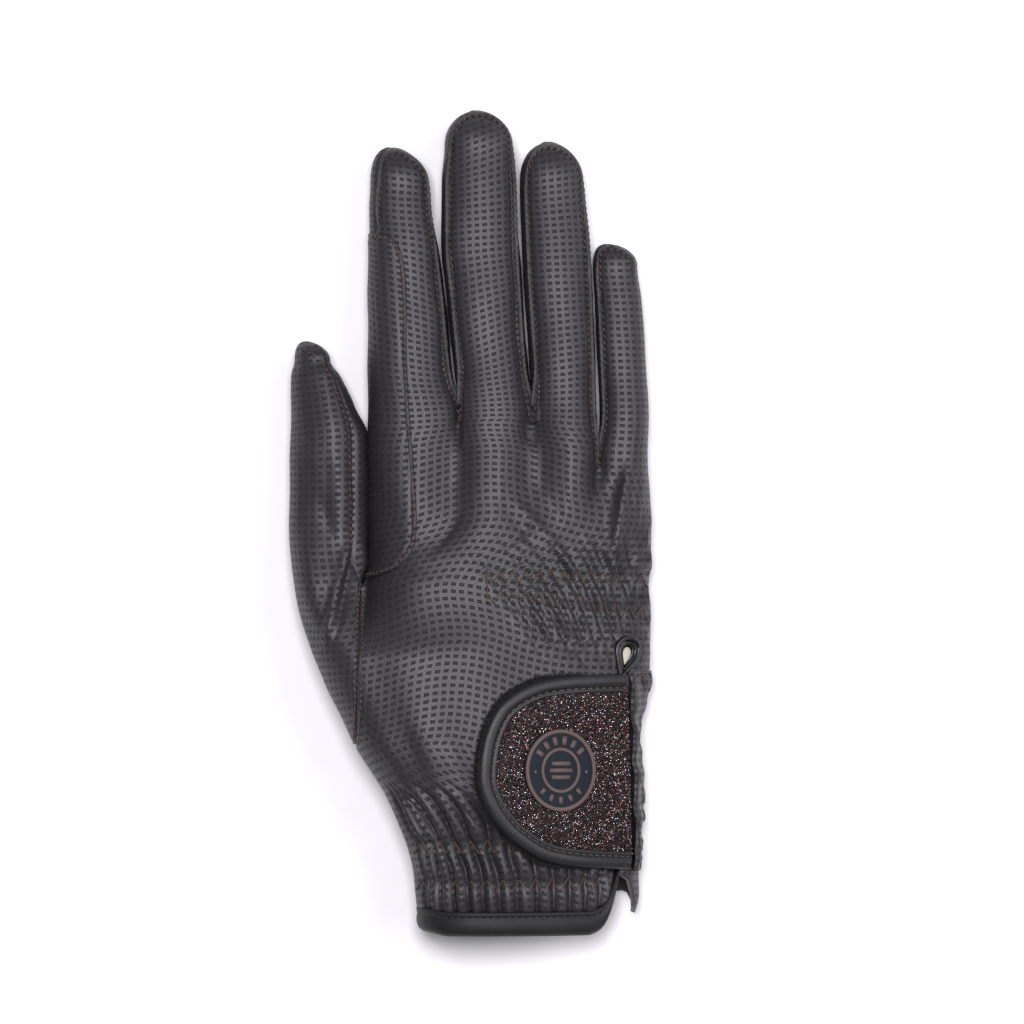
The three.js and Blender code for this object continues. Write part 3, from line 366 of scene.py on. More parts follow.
def hand_point(index, part, t, at):
    """Places across one strip of the hand below the knuckles."""
    s = section(HAND, at, HAND_POWER)
    left_angle = np.radians(read(HAND, "seam", at))
    line = angle_at(s, BREADTH * read(THUMB_LINE, "across", at))
    thumb_angle = np.minimum(line, np.pi - left_angle - NARROWEST_STRIP)
    opening = np.where(at < SLIT_TOP, slit_half(at), 0)
    slit = BREADTH * read(HAND, "slit", at)
    if part == "left":
        return on_section(s, np.pi - mix(left_angle, -PALM_SEAM, t))
    if part == "right":
        return on_section(s, mix(angle_at(s, slit + opening), -PALM_SEAM, t))
    share = (index - 1 + t) / LAST
    if part == "back":
        if index == 0:
            return along_section(s, np.pi - left_angle, thumb_angle, t)
        return along_section(s, thumb_angle, angle_at(s, slit - opening), share)
    start = np.pi + PALM_SEAM
    thumb_to = np.maximum(2 * np.pi - thumb_angle, start + NARROWEST_STRIP)
    if index == 0:
        return along_section(s, start + 0 * at, thumb_to, t)
    return along_section(s, thumb_to, 2 * np.pi - PALM_SEAM, share)


def hem_rise(index, part, t):
    """How far the hem rises at a place round the cuff."""
    across = (index + t) / (LAST + 1)
    if part == "back":
        return read(BACK_HEM, "rise", across)
    if part == "palm":
        return read(PALM_HEM, "rise", across)
    if part == "right":
        return read(SIDE_HEM, "rise", t)
    return mix(BACK_HEM["rise"][0], PALM_HEM["rise"][0], t)


def form_point(index, part, t, at):
    """Points of the smooth form on one digit's strip, for arrays of places."""
    t, at = np.broadcast_arrays(np.asarray(t, float), np.asarray(at, float))
    whole = smooth(*HAND_TO_DIGITS, at)
    fingers = np.ones_like(at) if index == 0 else smooth(*KNUCKLES_TO_FINGERS, at)
    point = digit_point(index, part, t, np.maximum(at, DIGITS[index]["rows"]["at"][0]))
    if index > 0:
        point = mix(knuckle_point(index, part, t, at), point, fingers[..., None])
    point = mix(hand_point(index, part, t, np.minimum(at, THUMB_CROTCH)), point, whole[..., None])
    tilt = read(HAND, "tilt", at)
    if index == 0:
        tilt = tilt * (1 - smooth(*THUMB_TILT_FADE, at))
    else:
        tilt = np.where(at < HAND["at"][-1], tilt, read(KNUCKLES, "tilt", at) * (1 - fingers))
    x, z = point[..., 0], point[..., 1]
    z = z - tilt * x * np.maximum(0, z) / (DEPTH * read(HAND, "top", at))
    return np.stack([x, (at - 0.5) * LENGTH, np.maximum(0, z)], -1)


def skin_point(index, part, t, row):
    """Places of the skin, whose rows follow the hem near it."""
    t, row = np.broadcast_arrays(np.asarray(t, float), np.asarray(row, float))
    return form_point(index, part, t, row + hem_rise(index, part, t) * (1 - smooth(0, HEM_FADE, row)))


def spread(*marks):
    """Rows between marks, at most ROW_STEP apart."""
    rows = [marks[0]]
    for low, high in zip(marks, marks[1:]):
        count = max(1, math.ceil((high - low) / ROW_STEP))
        rows += [mix(low, high, (k + 1) / count) for k in range(count)]
    return rows


def digit_rows(index):
    """Rows of a digit from the hem to its tip, with one at every crotch beside it and at the slit's marks."""
    marks = [0.0, BINDING_TOP, THUMB_PANEL_END, EYELET["low"], EYELET["middle"], SLIT_TOP, THUMB_CROTCH]
    highest = LITTLE_CROTCH if index == LAST else FINGER_CROTCH
    marks += [mark for mark in (LITTLE_CROTCH, FINGER_CROTCH) if index > 0 and mark <= highest]
    round_from = DIGITS[index]["rows"]["at"][-1]
    shares = [math.sin((k + 1) * math.pi / 2 / TIP_STEPS) for k in range(TIP_STEPS)]
    tip_rows = [mix(round_from, DIGITS[index]["tip"], share) for share in shares]
    return np.array(spread(*marks, round_from) + tip_rows)


CODES = {"back": 0, "palm": 1, "left": 2, "right": 3}  # a strip's number in the vertices' facts
GUSSETS = ["gusset_thumb", "gusset_index", "gusset_middle", "gusset_ring"]


def build_skin():
    """The smooth skin: its vertices, their digit, strip and place, its faces and the vertices' numbers."""
    ids, count = {}, 0
    spots, facts, faces = [], [], []
    for index in range(LAST + 1):
        rows = digit_rows(index)
        own = {}
        for part in ("back", "palm", "left", "right"):
            n = COLUMNS[part] + 1
            own[part] = numbered(len(rows), n) + count
            count += len(rows) * n
        if index > 0:
            shared = int(np.sum(rows <= CROTCHES[index - 1] + TINY))
            for part in ("back", "palm"):
                own[part][:shared, 0] = ids[index - 1][part][:shared, -1]
        own["left"][:, 0], own["left"][:, -1] = own["back"][:, 0], own["palm"][:, 0]
        closed = rows >= SLIT_TOP - TINY if index == LAST else np.ones(len(rows), bool)
        own["right"][closed, 0] = own["back"][closed, -1]
        own["right"][:, -1] = own["palm"][:, -1]
        if index > 0:
            k = int(np.argmin(np.abs(rows - CROTCHES[index - 1])))
            own["left"][k, 1:-1] = ids[index - 1]["right"][k, 1:-1]
        for part in own:
            own[part][-1, :] = own["back"][-1, 0]
        ids[index] = own
        for part in ("right", "left", "palm", "back"):
            n = COLUMNS[part] + 1
            t, at = np.meshgrid(np.linspace(0, 1, n), rows)
            code = CODES[part]
            inside = np.ones(t.shape, bool)
            if part in ("left", "right"):
                inside = (t > 0) & (t < 1)
                if part == "right" and index == LAST:
                    inside |= (t == 0) & (at < SLIT_TOP - TINY)
                if part == "right" and index < LAST:
                    inside &= at >= CROTCHES[index] - TINY
                if part == "left" and index > 0:
                    inside &= at >= CROTCHES[index - 1] - TINY
            spots.append((own[part][inside], skin_point(index, part, t, at)[inside]))
            facts.append((own[part][inside], np.stack([0 * t + index, 0 * t + code, t, at], -1)[inside]))
            low = np.repeat(rows[:-1], n - 1)
            quads = grid_faces(own[part])
            if part in ("palm", "left"):
                quads = quads[:, ::-1]
            keep = np.ones(len(quads), bool)
            if part == "right" and index < LAST:
                keep = low >= CROTCHES[index] - TINY
            if part == "left" and index > 0:
                keep = low >= CROTCHES[index - 1] - TINY
            panel = panel_of(index, part, low)
            faces += [(tuple(q), p, index, part) for q, p, ok in zip(quads.tolist(), panel, keep) if ok]
    sums, seen, known = np.zeros((count, 3)), np.zeros(count), np.zeros((count, 4))
    for where, points in spots:
        np.add.at(sums, where, points)
        np.add.at(seen, where, 1)
    for where, values in facts:
        known[where] = values
    kept = []
    for quad, panel, index, part in faces:
        distinct = [c for k, c in enumerate(quad) if c != quad[k - 1]]
        if len(distinct) >= 3:
            kept.append((distinct, panel, index, part))
    used = np.array(sorted({c for face in kept for c in face[0]}))
    number = np.zeros(count, int)
    number[used] = np.arange(len(used))
    points = sums[used] / seen[used][:, None]
    clean = [([int(number[c]) for c in corners], panel, index, part) for corners, panel, index, part in kept]
    return points, known[used], clean, {i: {p: number[g] for p, g in own.items()} for i, own in ids.items()}


def panel_of(index, part, low):
    """Panel of each face, from its strip and its lower row."""
    name = np.full(len(low), "back_panel", dtype=object)
    if part == "palm":
        name[:] = "palm_panel"
    if index == 0:
        name[low >= THUMB_PANEL_END - TINY] = "thumb_panel"
    if part == "right" and index < LAST:
        name[:] = GUSSETS[index]
    if part == "left" and index > 0:
        name[:] = GUSSETS[index - 1]
    if part != "right":
        name[low < BINDING_TOP - TINY] = "cuff_binding"
    return name


def vertex_normals(points, faces):
    """Normals of the vertices; a bigger face counts for more."""
    normals = np.zeros_like(points)
    threes = np.array([f for f in faces if len(f) == 3], int).reshape(-1, 3)
    quads = np.array([f for f in faces if len(f) == 4], int).reshape(-1, 4)
    triangles = np.concatenate([threes, quads[:, [0, 1, 2]], quads[:, [0, 2, 3]]])
    a, b, c = (points[triangles[:, k]] for k in range(3))
    normal = np.cross(b - a, c - a)
    for k in range(3):
        np.add.at(normals, triangles[:, k], normal)
    return unit(normals)


# Relief of the leather
CUFF_ROWS = [0.0605, 0.1086]  # elastic rows of the cuff, which pinch it
PINCH_WIDTH = 0.009
PINCH_DEPTH = 0.8
RUFFLES = table(
    "at height",
    [0.0, 0.1],
    [0.03, 0.75],
    [0.0605, 0.6],
    [0.085, 1.0],
    [0.1086, 0.65],
    [0.14, 0.9],
    [0.19, 0.0],
)
RUFFLE_DEPTH = 2.8
RUFFLES_A_STRIP = 5
RUFFLE_SWAY = {"size": 0.5, "waves": 60, "grows": (0.03, 0.12)}
BROAD_RIDGE = 0.8  # power that makes a ridge broad and the valleys beside it narrow
# Puckers along the knuckle elastic, which lean about the line y = middle, and its two rows
PUCKER = {"pitch": 3.6, "height": 2.3, "mean": 0.6, "middle": -18, "lean_left": 0.75, "lean_right": 0.25}
PUCKER_LEANS = (8, 50)
PUCKER_ENDS = {"left": (3.0, 7.0), "low": (-43, -27), "high": (-12, -1)}
PUCKER_GROWS = {"least": 0.5, "over": (0, 24)}
PUCKER_UNEVEN = {"mean": 0.9, "size": 0.25, "across": 0.31, "along": 0.2}
KNUCKLE_PINCHES = [{"y": -15.2, "slope": 0.0}, {"y": -22.5, "slope": -0.06}]
KNUCKLE_PINCH = {"width": 1.6, "depth": 0.4}
# Slow waves all over the leather: waves across, waves along and where each starts
WAVES = [(0.21, 0.13, 0.4), (-0.16, 0.19, 2.9), (0.09, -0.27, 5.1), (0.33, 0.05, 8.0)]
WAVE_HEIGHT = 0.1
WAVE_OFF_BACK = 0.4
UPWARD = 2.5  # how soon the relief fades where the back turns down
SIDE_SHAPE = {"grows": (0, 0.22), "fades": (0.8, 1)}
THUMB_SIDE = {"grows": (0.425, 0.45), "fades": (0.59, 0.64)}
FLAP_FOLD = {"height": 0.8, "wave": 0.3, "waves": 90}  # folded edge of the flap beside the slit
FLAP_FOLD_AT = {"grows": (0.0, 0.03), "fades": (0.08, 0.3)}
RELIEF_FROM = (0.0, 1.2)  # height over which the relief of the underside grows from nothing
# Folds and dents of the back: a line from x0 y0 to x1 y1, how wide it is, and how high (below 0: how deep)
FOLD_FADE = 0.35
FOLDS = table(
    "x0 y0 x1 y1 width height",
    [-37.0, 13.0, -36.6, -2.0, 2.2, 0.7],
    [-34.6, -10.0, -38.6, -27.0, 1.5, 1.4],
    [-31.0, -5.0, -35.8, -23.0, 1.6, -1.9],
    [-40.5, 2.0, -36.0, -14.0, 2.2, -0.7],
    [-42.0, -12.0, -40.5, -24.0, 3.0, -0.5],
    [-46.0, 28.0, -42.5, 8.0, 3.0, 0.4],
    [-3.6, 26.0, -3.0, 12.0, 4.5, -0.45],
    [17.6, 26.0, 18.6, 12.0, 4.5, -0.45],
    [35.8, 14.0, 37.4, -2.0, 3.5, -0.6],
    [43.0, 8.0, 39.2, -13.0, 1.2, 1.1],
    [40.0, 10.0, 36.6, -8.0, 1.8, -0.6],
    [50.0, -1.0, 45.4, -16.0, 1.1, 0.9],
    [45.4, 6.0, 43.6, -12.0, 1.6, -0.5],
    [17.0, 0.5, 28.5, -12.5, 1.5, 0.85],
    [13.0, 0.0, 23.5, -12.5, 1.5, -0.55],
    [24.0, 2.0, 33.0, -12.0, 1.8, -0.35],
    [15.5, -24.0, 28.0, -38.0, 1.5, 0.6],
    [23.5, -24.0, 35.0, -37.0, 1.5, 0.6],
    [18.5, -24.0, 30.5, -38.0, 1.5, -0.4],
    [29.0, -25.0, 39.0, -36.0, 1.5, 0.4],
    [-14.0, -84.0, -22.0, -66.0, 2.2, 0.5],
    [18.0, 30.0, 24.0, -3.0, 8.0, -1.2],
    [-39.5, 40.0, -35.5, 10.0, 4.2, 1.1],
    [-47.5, 38.0, -45.0, 4.0, 4.2, -0.9],
    [-28.0, -38.0, -20.0, -62.0, 6.0, -0.9],
    [-8.0, -84.0, -16.0, -64.0, 2.4, -0.5],
    [0.0, -84.0, -4.0, -68.0, 2.4, 0.45],
)


def line_distance(x, y, x0, y0, x1, y1):
    """Distance of places from a line, how far past its ends they lie, and its length, all in millimetres."""
    length = math.hypot(x1 - x0, y1 - y0)
    ux, uy = (x1 - x0) / length, (y1 - y0) / length
    along = (x - x0) * ux + (y - y0) * uy
    past = np.maximum(0, np.maximum(-along, along - length))
    return np.abs(-(x - x0) * uy + (y - y0) * ux), past, length


def relief(points, normals, facts):
    """The skin with its ruffles, puckers, folds, waves and finger sides."""
    index, code, t, at = facts.T
    x, y = points[:, 0], points[:, 1]
    back, left, right = code == CODES["back"], code == CODES["left"], code == CODES["right"]
    on_back = back | (right & (index == LAST)) | (left & (index == 0))
    top = np.clip(normals[:, 2] * UPWARD, 0, 1) * on_back
    # ruffles of the cuff
    sway = RUFFLE_SWAY["size"] * np.sin(at * RUFFLE_SWAY["waves"] + index) * smooth(*RUFFLE_SWAY["grows"], at)
    ridge = np.abs(np.cos(np.pi * ((index + t) * RUFFLES_A_STRIP + sway) / 2)) ** BROAD_RIDGE
    height = -RUFFLE_DEPTH * (1 - ridge) * read(RUFFLES, "height", at) * back
    for row in CUFF_ROWS:
        height -= PINCH_DEPTH * np.exp(-(((at - row) / PINCH_WIDTH) ** 2)) * back
    # puckers along the knuckle elastic
    lean = mix(PUCKER["lean_left"], PUCKER["lean_right"], smooth(*PUCKER_LEANS, x))
    leaned = x + lean * (y - PUCKER["middle"])
    phase = leaned * 2 * np.pi / PUCKER["pitch"]
    reach = smooth(*PUCKER_ENDS["left"], leaned) * hump(y, PUCKER_ENDS["low"], PUCKER_ENDS["high"])
    off_rows = [y - row["y"] - row["slope"] * x for row in KNUCKLE_PINCHES]
    pinch = sum(np.exp(-((off / KNUCKLE_PINCH["width"]) ** 2)) for off in off_rows)
    uneven = np.sin(PUCKER_UNEVEN["across"] * phase + PUCKER_UNEVEN["along"] * y)
    size = PUCKER["height"] * mix(PUCKER_GROWS["least"], 1, smooth(*PUCKER_GROWS["over"], x))
    size *= PUCKER_UNEVEN["mean"] + PUCKER_UNEVEN["size"] * uneven
    pucker = np.abs(np.sin(phase / 2)) ** BROAD_RIDGE - PUCKER["mean"]
    height += top * reach * (size * pucker - KNUCKLE_PINCH["depth"] * pinch)
    for k in range(len(FOLDS["x0"])):
        fold = {name: values[k] for name, values in FOLDS.items()}
        across, past, length = line_distance(x, y, fold["x0"], fold["y0"], fold["x1"], fold["y1"])
        end = np.exp(-((past / (FOLD_FADE * length)) ** 2))
        height += top * fold["height"] * np.exp(-((across / fold["width"]) ** 2)) * end
    for waves_across, waves_along, start in WAVES:
        height += WAVE_HEIGHT * np.sin(waves_across * x + waves_along * y + start) * (on_back + WAVE_OFF_BACK)
    # finger sides
    digit = index.astype(int)
    side = np.where(left, np.array(SIDE_LEFT)[digit], 0) + np.where(right, np.array(SIDE_RIGHT)[digit], 0)
    side = np.where(digit == 0, side * hump(at, **THUMB_SIDE), side)
    side += np.where(right, np.array(SIDE_TOUCHES)[digit], 0) * (1 - smooth(*FINGERS_PART, at))
    height += side * hump(t, **SIDE_SHAPE)
    flap = right & (index == LAST) & (at < SLIT_TOP)
    wave = 1 + FLAP_FOLD["wave"] * np.sin(at * FLAP_FOLD["waves"])
    height += FLAP_FOLD["height"] * flap * hump(t, **FLAP_FOLD_AT) * wave
    lowest = smooth(*RELIEF_FROM, points[:, 2])
    moved = points + normals * (height * np.where(normals[:, 2] < 0, lowest, 1))[:, None]
    moved[:, 2] = np.maximum(moved[:, 2], 0)
    return moved


# Rows below a crotch where a valley starts, is full and fades, and how wide and how much it is rounded
VALLEY = {"low": 0.17, "full": 0.1, "fade": 0.04, "columns": 15, "rounds": 40}


def ease_valleys(points, numbers):
    """Rounds the valleys between the roots of the fingers on the back."""
    for index in range(1, LAST):
        crotch, n = CROTCHES[index], VALLEY["columns"]
        for r, at in enumerate(digit_rows(index)):
            grows = (crotch - VALLEY["low"], crotch - VALLEY["full"])
            weight = hump(at, grows, (crotch - VALLEY["fade"], crotch))
            if weight <= 0:
                continue
            row = np.concatenate([numbers[index]["back"][r, -n:-1], numbers[index + 1]["back"][r, :n]])
            rounded = points[row, 2].copy()
            for _ in range(VALLEY["rounds"]):
                rounded[1:-1] = eased(rounded)
            points[row, 2] = mix(points[row, 2], rounded, weight)


points, facts, faces, numbers = build_skin()
ease_valleys(points, numbers)
polygons = [f[0] for f in faces]
smooth_normals = vertex_normals(points, polygons)
slit_edges = np.stack([numbers[LAST]["back"][:, -1], numbers[LAST]["right"][:, 0]], -1)
slit_pairs = zip(slit_edges[:-1], slit_edges[1:], digit_rows(LAST)[1:])
over_slit = [[int(k) for k in (*low, *high[::-1])] for low, high, at in slit_pairs if at < SLIT_TOP]
closed_tree = BVHTree.FromPolygons([Vector(p) for p in points], polygons + over_slit)
skin = relief(points, smooth_normals, facts)

panels_at = {}
for corners, panel, index, part in faces:
    for corner in corners:
        panels_at.setdefault(corner, set()).add(panel)
seam = np.array([len(panels_at[k]) > 1 for k in range(len(points))])
skin[seam] -= smooth_normals[seam] * SEAM_SINK
skin[:, 2] = np.maximum(skin[:, 2], 0)
skin_tree = BVHTree.FromPolygons([Vector(p) for p in skin], polygons)


DIGIT_SLANT = [0.2, -0.22, 0.24, 0.1, 0.0]  # how the pattern's rows rise to the right on each finger
SLANT_WAVE = 0.6
SLANT_WAVE_LENGTH = 9
FINGER_FINER = 0.1
FINER_FROM = 22
PATTERN_TURNS = (0.55, 0.7)  # rows over which the pattern of the hand turns into that of the fingers
PATTERN_ARCH = {"rise": 7.5, "middle": 10, "width": 21}  # the rows arch over the back of the hand
PATTERN_CENTRED_FROM = [THUMB_CROTCH, FINGER_CROTCH, FINGER_CROTCH, FINGER_CROTCH, LITTLE_CROTCH]


def pattern_places():
    """Place of every skin vertex on the flat leather, in millimetres, for each strip."""
    spans = {}
    for index in range(LAST + 1):
        for part in ("back", "left", "right", "palm"):
            grid = points[numbers[index][part]]
            steps = np.linalg.norm(np.diff(grid, axis=1), axis=2)
            spans[index, part] = np.concatenate([np.zeros((len(grid), 1)), np.cumsum(steps, axis=1)], axis=1)
    places, starts = {}, {}
    width = {i: spans[i, "back"][:, -1] for i in range(LAST + 1)}
    for index in (2, 1, 0, 3, 4):
        rows = digit_rows(index)
        if index == 2:
            start = np.zeros(len(rows))
        elif index < 2:
            start = -width[index]
            if index == 0:
                n = min(len(rows), len(width[1]))
                start[:n] -= width[1][:n]
        else:
            n = min(len(rows), len(width[index - 1]))
            start = np.zeros(len(rows))
            start[:n] = starts[index - 1][:n] + width[index - 1][:n]
        k = int(np.argmin(np.abs(rows - PATTERN_CENTRED_FROM[index])))
        centre = start[k] + width[index][k] / 2
        start[k:] = centre - width[index][k:] / 2
        starts[index] = start
    for (index, part), span in spans.items():
        y = points[numbers[index][part]][:, :, 1]
        begin = starts[index][:, None]
        if part == "back":
            u = begin + span
        elif part == "left":
            u = begin - span
        elif part == "right":
            u = begin + width[index][:, None] + span
        else:
            u = points[numbers[index][part]][:, :, 0]
        if part == "palm":
            v = y
        else:
            rows = digit_rows(index)[:, None]
            on_hand = 1 - smooth(*PATTERN_TURNS, rows)
            middle = begin + width[index][:, None] / 2
            slant = DIGIT_SLANT[index] * (1 + SLANT_WAVE * np.sin(y / SLANT_WAVE_LENGTH + index))
            arch = np.exp(-(((u - PATTERN_ARCH["middle"]) / PATTERN_ARCH["width"]) ** 2))
            v = y - on_hand * PATTERN_ARCH["rise"] * arch - (1 - on_hand) * slant * (u - middle)
            v = v + FINGER_FINER * np.maximum(0, y - FINER_FROM)
            u = middle + (u - middle) * (1 + FINGER_FINER * (1 - on_hand))
        place = np.zeros((len(points), 2))
        place[numbers[index][part].ravel()] = np.stack([u, v], -1).reshape(-1, 2)
        places[index, part] = place
    return places


PATTERN = pattern_places()
CELL = (2.35, 2.0)  # pitch of the sunk pattern across and along, in millimetres


def add_mesh(name, verts, polys, materials, material_index=None, uv=None):
    """A mesh object from places in millimetres; uv holds one place for each corner of each face."""
    mesh = bpy.data.meshes.new(name)
    mesh.from_pydata((np.asarray(verts, float) * MM).tolist(), [], [list(map(int, p)) for p in polys])
    for each in materials:
        mesh.materials.append(each)
    if material_index is not None:
        mesh.polygons.foreach_set("material_index", material_index)
    if uv is not None:
        layer = mesh.uv_layers.new(name="pattern")
        layer.data.foreach_set("uv", np.asarray(uv, float).ravel())
    mesh.polygons.foreach_set("use_smooth", [True] * len(mesh.polygons))
    mesh.update()
    obj = bpy.data.objects.new(name, mesh)
    bpy.context.scene.collection.objects.link(obj)
    return obj


def wall(name, panel, outside, inside):
    """One leather panel of the skin as a thin wall."""
    chosen = [f for f in faces if f[1] == panel]
    edges = {}
    for corners, _, index, part in chosen:
        for k, corner in enumerate(corners):
            edges[corner, corners[(k + 1) % len(corners)]] = (index, part)
    used = sorted({c for f in chosen for c in f[0]})
    local = {c: k for k, c in enumerate(used)}
    outer, inner = skin[used], skin[used] - smooth_normals[used] * LEATHER
    n = len(used)
    polys, which, uv = [], [], []
    for corners, _, index, part in chosen:
        place = PATTERN[index, part]
        ids = [local[c] for c in corners]
        spots = [place[c] / CELL for c in corners]
        polys += [ids, [n + k for k in reversed(ids)]]
        which += [0, 1]
        uv += spots + spots[::-1]
    for (a, b), (index, part) in edges.items():
        if (b, a) in edges:
            continue
        place = PATTERN[index, part]
        polys.append([local[b], local[a], n + local[a], n + local[b]])
        which.append(1)
        uv += [place[b] / CELL, place[a] / CELL, place[a] / CELL, place[b] / CELL]
    obj = add_mesh(name, np.concatenate([outer, inner]), polys, [outside, inside], which, uv)
    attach(obj, "root")
    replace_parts(obj, panel)


ABOVE_ALL = 90.0
RIM_HEIGHT = 12.0  # where a place just outside the outline looks for the nearest leather


def drop(x, y, tree=skin_tree):
    """Place and normal of the surface straight below a point seen from above."""
    hit, normal, _, _ = tree.ray_cast(Vector((x, y, ABOVE_ALL)), Vector((0, 0, -1)))
    if hit is None:
        hit, normal, _, _ = tree.find_nearest(Vector((x, y, RIM_HEIGHT)))
    return np.array(hit), np.array(normal)


def resample(line, step):
    """Points at even steps along a line of two- or three-dimensional points."""
    line = np.asarray(line, float)
    reach = reach_along(line)
    count = max(2, int(round(reach[-1] / step)) + 1)
    wanted = np.linspace(0, reach[-1], count)
    return np.stack([np.interp(wanted, reach, line[:, k]) for k in range(line.shape[1])], -1)


def curve(line, step=0.8, rounds=2):
    """A smooth line through given points."""
    line = resample(line, step)
    for _ in range(rounds):
        line[1:-1] = eased(line)
    return resample(line, step)


def laid(line, lift=0.0, tree=skin_tree):
    """A line seen from above, laid on the glove: its places and normals."""
    found = [drop(x, y, tree) for x, y in np.asarray(line)[:, :2]]
    places = np.array([p for p, _ in found])
    normals = np.array([n for _, n in found])
    for _ in range(2):
        normals[1:-1] = (normals[:-2] + normals[1:-1] + normals[2:]) / 3
    normals = unit(normals)
    return places + normals * lift, normals


def tangents(places):
    """Direction of a line at each of its places."""
    return unit(np.gradient(places, axis=0))


def sweep(name, places, ups, profile, materials, sizes=1.0):
    """A closed section swept along a line: profile holds places to the line's right and up, anticlockwise."""
    along = tangents(places)
    right = unit(np.cross(along, ups))
    up = np.cross(right, along)
    profile = np.asarray(profile, float)
    n, m = len(places), len(profile)
    sizes = np.broadcast_to(sizes, n)[:, None, None]
    sideways, upwards = profile[None, :, :1] * sizes, profile[None, :, 1:] * sizes
    verts = (places[:, None] + right[:, None] * sideways + up[:, None] * upwards).reshape(-1, 3)
    number = numbered(n, m)
    sides = grid_faces(np.pad(number, ((0, 0), (0, 1)), mode="wrap"))[:, [0, 3, 2, 1]]
    return add_mesh(name, verts, sides.tolist() + [number[0], number[-1][::-1]], materials)


def adder(tree):
    """A function that adds a node to a tree, with its settings and its inputs' values or links."""

    def add(kind, values=(), **settings):
        node = tree.nodes.new(kind)
        for key, value in settings.items():
            setattr(node, key, value)
        for socket, value in dict(values).items():
            if isinstance(value, bpy.types.NodeSocket):
                tree.links.new(value, node.inputs[socket])
            else:
                node.inputs[socket].default_value = value
        return node

    return add


def calc(add, operation, a, b=0.0):
    """The result of one sum of two values in a tree."""
    return add("ShaderNodeMath", {0: a, 1: b}, operation=operation).outputs[0]


# Trees of nodes for what repeats along a line or over a surface
def new_tree(name, inputs):
    """A tree that starts from geometry and named inputs."""
    tree = bpy.data.node_groups.new(name, "GeometryNodeTree")
    tree.interface.new_socket("Geometry", in_out="INPUT", socket_type="NodeSocketGeometry")
    for label, kind in inputs:
        tree.interface.new_socket(label, in_out="INPUT", socket_type="NodeSocket" + kind)
    tree.interface.new_socket("Geometry", in_out="OUTPUT", socket_type="NodeSocketGeometry")
    add = adder(tree)
    return tree, add, add("NodeGroupInput")


def finish_tree(tree, add, start, geometry):
    """Ends a tree with real geometry, smooth and in its material."""
    realized = add("GeometryNodeRealizeInstances", {"Geometry": geometry})
    shaded = add("GeometryNodeSetShadeSmooth", {"Geometry": realized.outputs[0]})
    values = {"Geometry": shaded.outputs[0], "Material": start.outputs["Material"]}
    painted = add("GeometryNodeSetMaterial", values)
    add("NodeGroupOutput", {"Geometry": painted.outputs[0]})
    return tree


def place_each(add, spots, piece, rotation, turn, scale):
    """A piece on every spot, turned about its own axes."""
    values = {"Rotation": rotation, "Rotate By": turn}
    turned = add("FunctionNodeRotateRotation", values, rotation_space="LOCAL").outputs[0]
    values = {"Points": spots, "Instance": piece.outputs["Mesh"], "Rotation": turned, "Scale": scale}
    return add("GeometryNodeInstanceOnPoints", values).outputs[0]


def stitch_tree():
    """Long round stitches along a line, every second one swung the other way."""
    tree, add, start = new_tree(
        "stitch_row",
        [("Pitch", "Float"), ("Length", "Float"), ("Width", "Float"), ("Slant", "Float"), ("Swing", "Float"),
         ("Material", "Material")],
    )
    line = add("GeometryNodeMeshToCurve", {"Mesh": start.outputs["Geometry"]})
    each = {"Curve": line.outputs[0], "Length": start.outputs["Pitch"]}
    spots = add("GeometryNodeCurveToPoints", each, mode="LENGTH")
    up = add("GeometryNodeInputNamedAttribute", {"Name": "up"}, data_type="FLOAT_VECTOR")
    along = add("FunctionNodeAlignRotationToVector", {"Vector": spots.outputs["Tangent"]}, axis="X")
    stand = {"Rotation": along.outputs[0], "Vector": up.outputs["Attribute"]}
    upright = add("FunctionNodeAlignRotationToVector", stand, axis="Z", pivot_axis="X")
    odd = calc(add, "MODULO", add("GeometryNodeInputIndex").outputs[0], 2.0)
    side = calc(add, "SUBTRACT", calc(add, "MULTIPLY", odd, 2.0), 1.0)
    angle = calc(add, "ADD", start.outputs["Slant"], calc(add, "MULTIPLY", side, start.outputs["Swing"]))
    turn = add("ShaderNodeCombineXYZ", {"Z": angle})
    turned = add("FunctionNodeEulerToRotation", {0: turn.outputs[0]}).outputs[0]
    ball = add("GeometryNodeMeshUVSphere", {"Segments": 8, "Rings": 6, "Radius": 0.5})
    length, width = start.outputs["Length"], start.outputs["Width"]
    size = add("ShaderNodeCombineXYZ", {"X": length, "Y": width, "Z": width}).outputs[0]
    placed = place_each(add, spots.outputs["Points"], ball, upright.outputs[0], turned, size)
    return finish_tree(tree, add, start, placed)


def thread_tree():
    """A round thread along each line."""
    tree, add, start = new_tree("thread", [("Radius", "Float"), ("Sides", "Int"), ("Material", "Material")])
    line = add("GeometryNodeMeshToCurve", {"Mesh": start.outputs["Geometry"]})
    size = {"Resolution": start.outputs["Sides"], "Radius": start.outputs["Radius"]}
    ring = add("GeometryNodeCurvePrimitiveCircle", size).outputs["Curve"]
    swept = {"Curve": line.outputs[0], "Profile Curve": ring, "Fill Caps": True}
    return finish_tree(tree, add, start, add("GeometryNodeCurveToMesh", swept).outputs[0])


SCATTER_SIZES = (0.55, 1.35)  # smallest and largest of the scattered pieces, as a share of their size
TINT_SEED = 7


